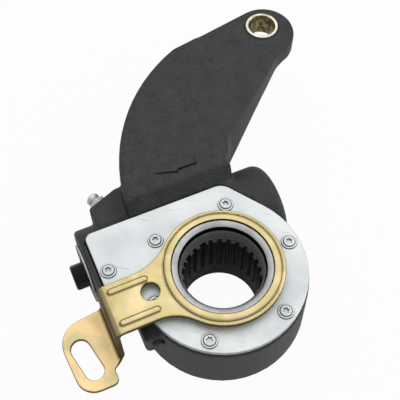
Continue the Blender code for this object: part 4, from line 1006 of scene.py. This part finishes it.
def makeNippleForm(shape):
    end, shoulder, lift = shape["shankEnd"], shape["shoulder"], shape["hexLift"]
    shank, flats, neck, ball = shape["shankRadius"], shape["flats"], shape["neck"], shape["ball"]
    head, top = lift + shape["hexHeight"], lift + shape["height"]
    collar, collarRise = shape["collar"]
    neckEnd, ballLow, ballHigh = (top - ball * level for level in shape["ballLevels"])
    mouthRim, mouthEdge = shape["mouth"]
    mouthSide, mouthFloor = (top - depth for depth in shape["mouthDepth"])
    tiny, small, medium, large, broad = shape["roundings"]
    bm = turnedForm([
        (0, end, 0), (shank, end, small), (shank, shoulder, 0), (flats, shoulder, 0),
        (flats, head, tiny), (collar, head + collarRise, small),
        (neck, head + shape["neckRise"], medium), (neck, neckEnd, medium), (ball, ballLow, broad),
        (ball * shape["ballSwell"], ballHigh, broad), (mouthRim, top, large),
        (mouthEdge, mouthSide, 0), (0, mouthFloor, 0)], shape["segments"])
    corners = bmesh.ops.create_cone(bm, cap_ends=True, segments=6, radius1=shape["hexagon"],
                                    radius2=shape["hexagon"], depth=shape["hexHeight"])["verts"]
    bmesh.ops.translate(bm, verts=corners, vec=(0, 0, lift + shape["hexHeight"] / 2))
    edgeBevelled(bm, corners, shape["hexRound"])
    return bm


def nipplePlace(shape):
    # The shank's end is the node's lowest point along the leaning axis
    lean = radians(shape["lean"])
    axis = housingTurn @ Vector((-sin(lean), cos(lean), 0))
    middle = middleOf("grease_nipple")
    foot = middle + axis * lowestAlong("grease_nipple", axis, middle)
    turn = axis.to_track_quat("Z", "Y").to_matrix().to_4x4()
    return Matrix.Translation(foot + axis * shape["seat"]) @ turn


nipplePiece = addPiece("greaseNipple", moved(makeNippleForm(nippleShape), nipplePlace(nippleShape)),
                       "housing", nippleZinc)
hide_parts("grease_nipple")


# Clevis pin bush

bushShape = {
    "bore": 0.0070,
    "outer": 0.0090,
    "chamfer": 0.0006,
    "boreRound": 0.0001,
    "outerRound": 0.0003,
    "boreShare": 0.9,  # how much of the chamfer has the bore's finish
}


def makeBushForm(shape, low, high):
    bore, outer, chamfer = shape["bore"], shape["outer"], shape["chamfer"]
    fine, coarse = shape["boreRound"], shape["outerRound"]
    return turnedForm([
        (bore, low + chamfer, fine), (bore + chamfer, low, fine), (outer, low, coarse),
        (outer, high, coarse), (bore + chamfer, high, fine), (bore, high - chamfer, fine)])


bushLow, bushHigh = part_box("arm_bush")
bushMiddle = middleOf("arm_bush")
bush = moved(makeBushForm(bushShape, bushLow[2], bushHigh[2]),
             Matrix.Translation((bushMiddle.x, bushMiddle.y, 0)))
bushPiece = addPiece("pinBush", bush, "housing", bushBronze)
boreReach = bushShape["bore"] + bushShape["chamfer"] * bushShape["boreShare"]
paintFaces(bushPiece, boreBronze,
           lambda centre, normal: hypot(centre.x - bushMiddle.x, centre.y - bushMiddle.y) < boreReach)
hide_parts("arm_bush")
print("nipple and bush")


# Finishes of the CAD solids that stay, by the record's slots

stayingFinishes = {
    "gasket": gasketFibre,
    "rubber": sealRubber,
    "steel": barrelSteel,
    "dark_steel": blackOxide,
    "spring": barrelSteel,
    "bronze": bushBronze,
    "zinc": paleZinc,
    "casting": castIron,
    "yellow_zinc": yellowZinc,
}
shadedNodes = ("rack", "rack_plug", "rack_spring")  # painted shade: near black, deep in the channel

slotOf = {row["node"]: row["material_slot"] for row in frame["record"]["subparts"]}
for nodeName, node in nodes.items():
    finish = splineBlackAndShade if nodeName in shadedNodes else stayingFinishes[slotOf[nodeName]]
    node.data.materials.clear()
    node.data.materials.append(finish)
print("finishes of the solids")


# Floor, light and camera

stageShape = {
    "floorSize": 6.0,
    "floorGap": 0.0005,
    "floorPaint": 0.65,
    "floorShow": 0.96,
    "floorMirrored": 0.5,
    "skyMirrored": 0.08,
    "skyLow": 0.16,
    "skySide": 0.22,
    "skyTop": 0.60,
    "skyPlaces": (0.0, 0.55, 0.95),  # from straight down to straight up
}


def seenShare(tree, glossyShare):
    # 1 for what the camera sees straight or through something clear, a share for reflections
    light = addNode(tree, "ShaderNodeLightPath")
    clear = addNode(tree, "ShaderNodeMath", operation="MAXIMUM")
    tree.links.new(light.outputs["Is Camera Ray"], clear.inputs[0])
    tree.links.new(light.outputs["Is Transmission Ray"], clear.inputs[1])
    mirrored = addNode(tree, "ShaderNodeMath", operation="MULTIPLY")
    tree.links.new(light.outputs["Is Glossy Ray"], mirrored.inputs[0])
    mirrored.inputs[1].default_value = glossyShare
    seen = addNode(tree, "ShaderNodeMath", operation="MAXIMUM")
    tree.links.new(clear.outputs["Value"], seen.inputs[0])
    tree.links.new(mirrored.outputs["Value"], seen.inputs[1])
    return seen.outputs["Value"]


def mixShaders(tree, share, first, second, output):
    mix = addNode(tree, "ShaderNodeMixShader")
    tree.links.new(share, mix.inputs["Fac"])
    tree.links.new(first, mix.inputs[1])
    tree.links.new(second, mix.inputs[2])
    tree.links.new(mix.outputs["Shader"], tree.nodes[output].inputs["Surface"])


def greyOf(level):
    return (level, level, level)


def makeFloor(shape):
    bm = bmesh.new()
    bmesh.ops.create_grid(bm, x_segments=1, y_segments=1, size=shape["floorSize"] / 2)
    bmesh.ops.translate(bm, verts=bm.verts, vec=(0, 0, cadBox[0].z - shape["floorGap"]))
    floor = linkedObject("floor", bm)
    material = bpy.data.materials.new("whiteFloor")
    material.use_nodes = True
    tree = material.node_tree
    tree.nodes.remove(tree.nodes["Principled BSDF"])
    paint = addNode(tree, "ShaderNodeBsdfDiffuse", {"Color": (*greyOf(shape["floorPaint"]), 1.0)})
    glow = addNode(tree, "ShaderNodeEmission", {"Strength": 1.0})
    share = addNode(tree, "ShaderNodeMath", operation="MULTIPLY")
    tree.links.new(seenShare(tree, shape["floorMirrored"]), share.inputs[0])
    share.inputs[1].default_value = shape["floorShow"]
    mixShaders(tree, share.outputs["Value"], paint.outputs["BSDF"], glow.outputs["Emission"],
               "Material Output")
    floor.data.materials.append(material)


def makeWorld(shape):
    # A studio that is bright overhead and dim round the sides, so that metal edges stand out
    world = bpy.data.worlds.new("studio")
    bpy.context.scene.world = world
    world.use_nodes = True
    tree = world.node_tree
    link = tree.links.new
    plain = tree.nodes["Background"]
    split = addNode(tree, "ShaderNodeSeparateXYZ")
    link(addNode(tree, "ShaderNodeTexCoord").outputs["Generated"], split.inputs["Vector"])
    height = addNode(tree, "ShaderNodeMapRange", {"From Min": -1.0, "From Max": 1.0})
    link(split.outputs["Z"], height.inputs["Value"])
    levels = [greyOf(shape[key]) for key in ("skyLow", "skySide", "skyTop")]
    sky = addRamp(tree, height.outputs["Result"], list(zip(shape["skyPlaces"], levels)))
    link(sky, plain.inputs["Color"])
    white = addNode(tree, "ShaderNodeBackground", {"Strength": 1.0, "Color": (1.0, 1.0, 1.0, 1.0)})
    mixShaders(tree, seenShare(tree, shape["skyMirrored"]), plain.outputs["Background"],
               white.outputs["Background"], "World Output")


# Each lamp: place, size in metres and watts
lampShape = {
    "keyTop": ((0.05, 0.50, 0.85), 1.3, 4.4),
    "fillFront": ((0.25, -0.80, 0.60), 0.8, 0.7),
    "sideLeft": ((-0.80, 0.45, 0.55), 0.5, 1.0),
    "sideRight": ((0.80, 0.20, 0.35), 0.5, 1.8),
}


def makeLamps(shape):
    for name, (place, size, power) in shape.items():
        data = bpy.data.lights.new(name, "AREA")
        data.size = size
        data.energy = power
        lamp = bpy.data.objects.new(name, data)
        lamp.location = place
        lamp.rotation_euler = (-Vector(place)).to_track_quat("-Z", "Y").to_euler()
        bpy.context.scene.collection.objects.link(lamp)


cameraShape = {
    "place": (0.0112, -0.1514, 0.3264),
    "target": (-0.0163, 0.0353, 0.0),
    "roll": 0.94,
    "lens": 69.4,
    "sensor": 36.0,
    "clip": (0.01, 10.0),
}


def makeCamera(shape):
    data = bpy.data.cameras.new("photoCamera")
    data.lens = shape["lens"]
    data.sensor_width = shape["sensor"]
    data.clip_start, data.clip_end = shape["clip"]
    camera = bpy.data.objects.new("photoCamera", data)
    towards = Vector(shape["target"]) - Vector(shape["place"])
    look = towards.to_track_quat("-Z", "Y").to_matrix().to_4x4()
    roll = Matrix.Rotation(radians(shape["roll"]), 4, "Z")
    camera.matrix_world = Matrix.Translation(shape["place"]) @ look @ roll
    bpy.context.scene.collection.objects.link(camera)
    bpy.context.scene.camera = camera


makeFloor(stageShape)
makeWorld(stageShape)
makeLamps(lampShape)
makeCamera(cameraShape)
bpy.context.scene.view_settings.view_transform = "Standard"
print("floor, light and camera")
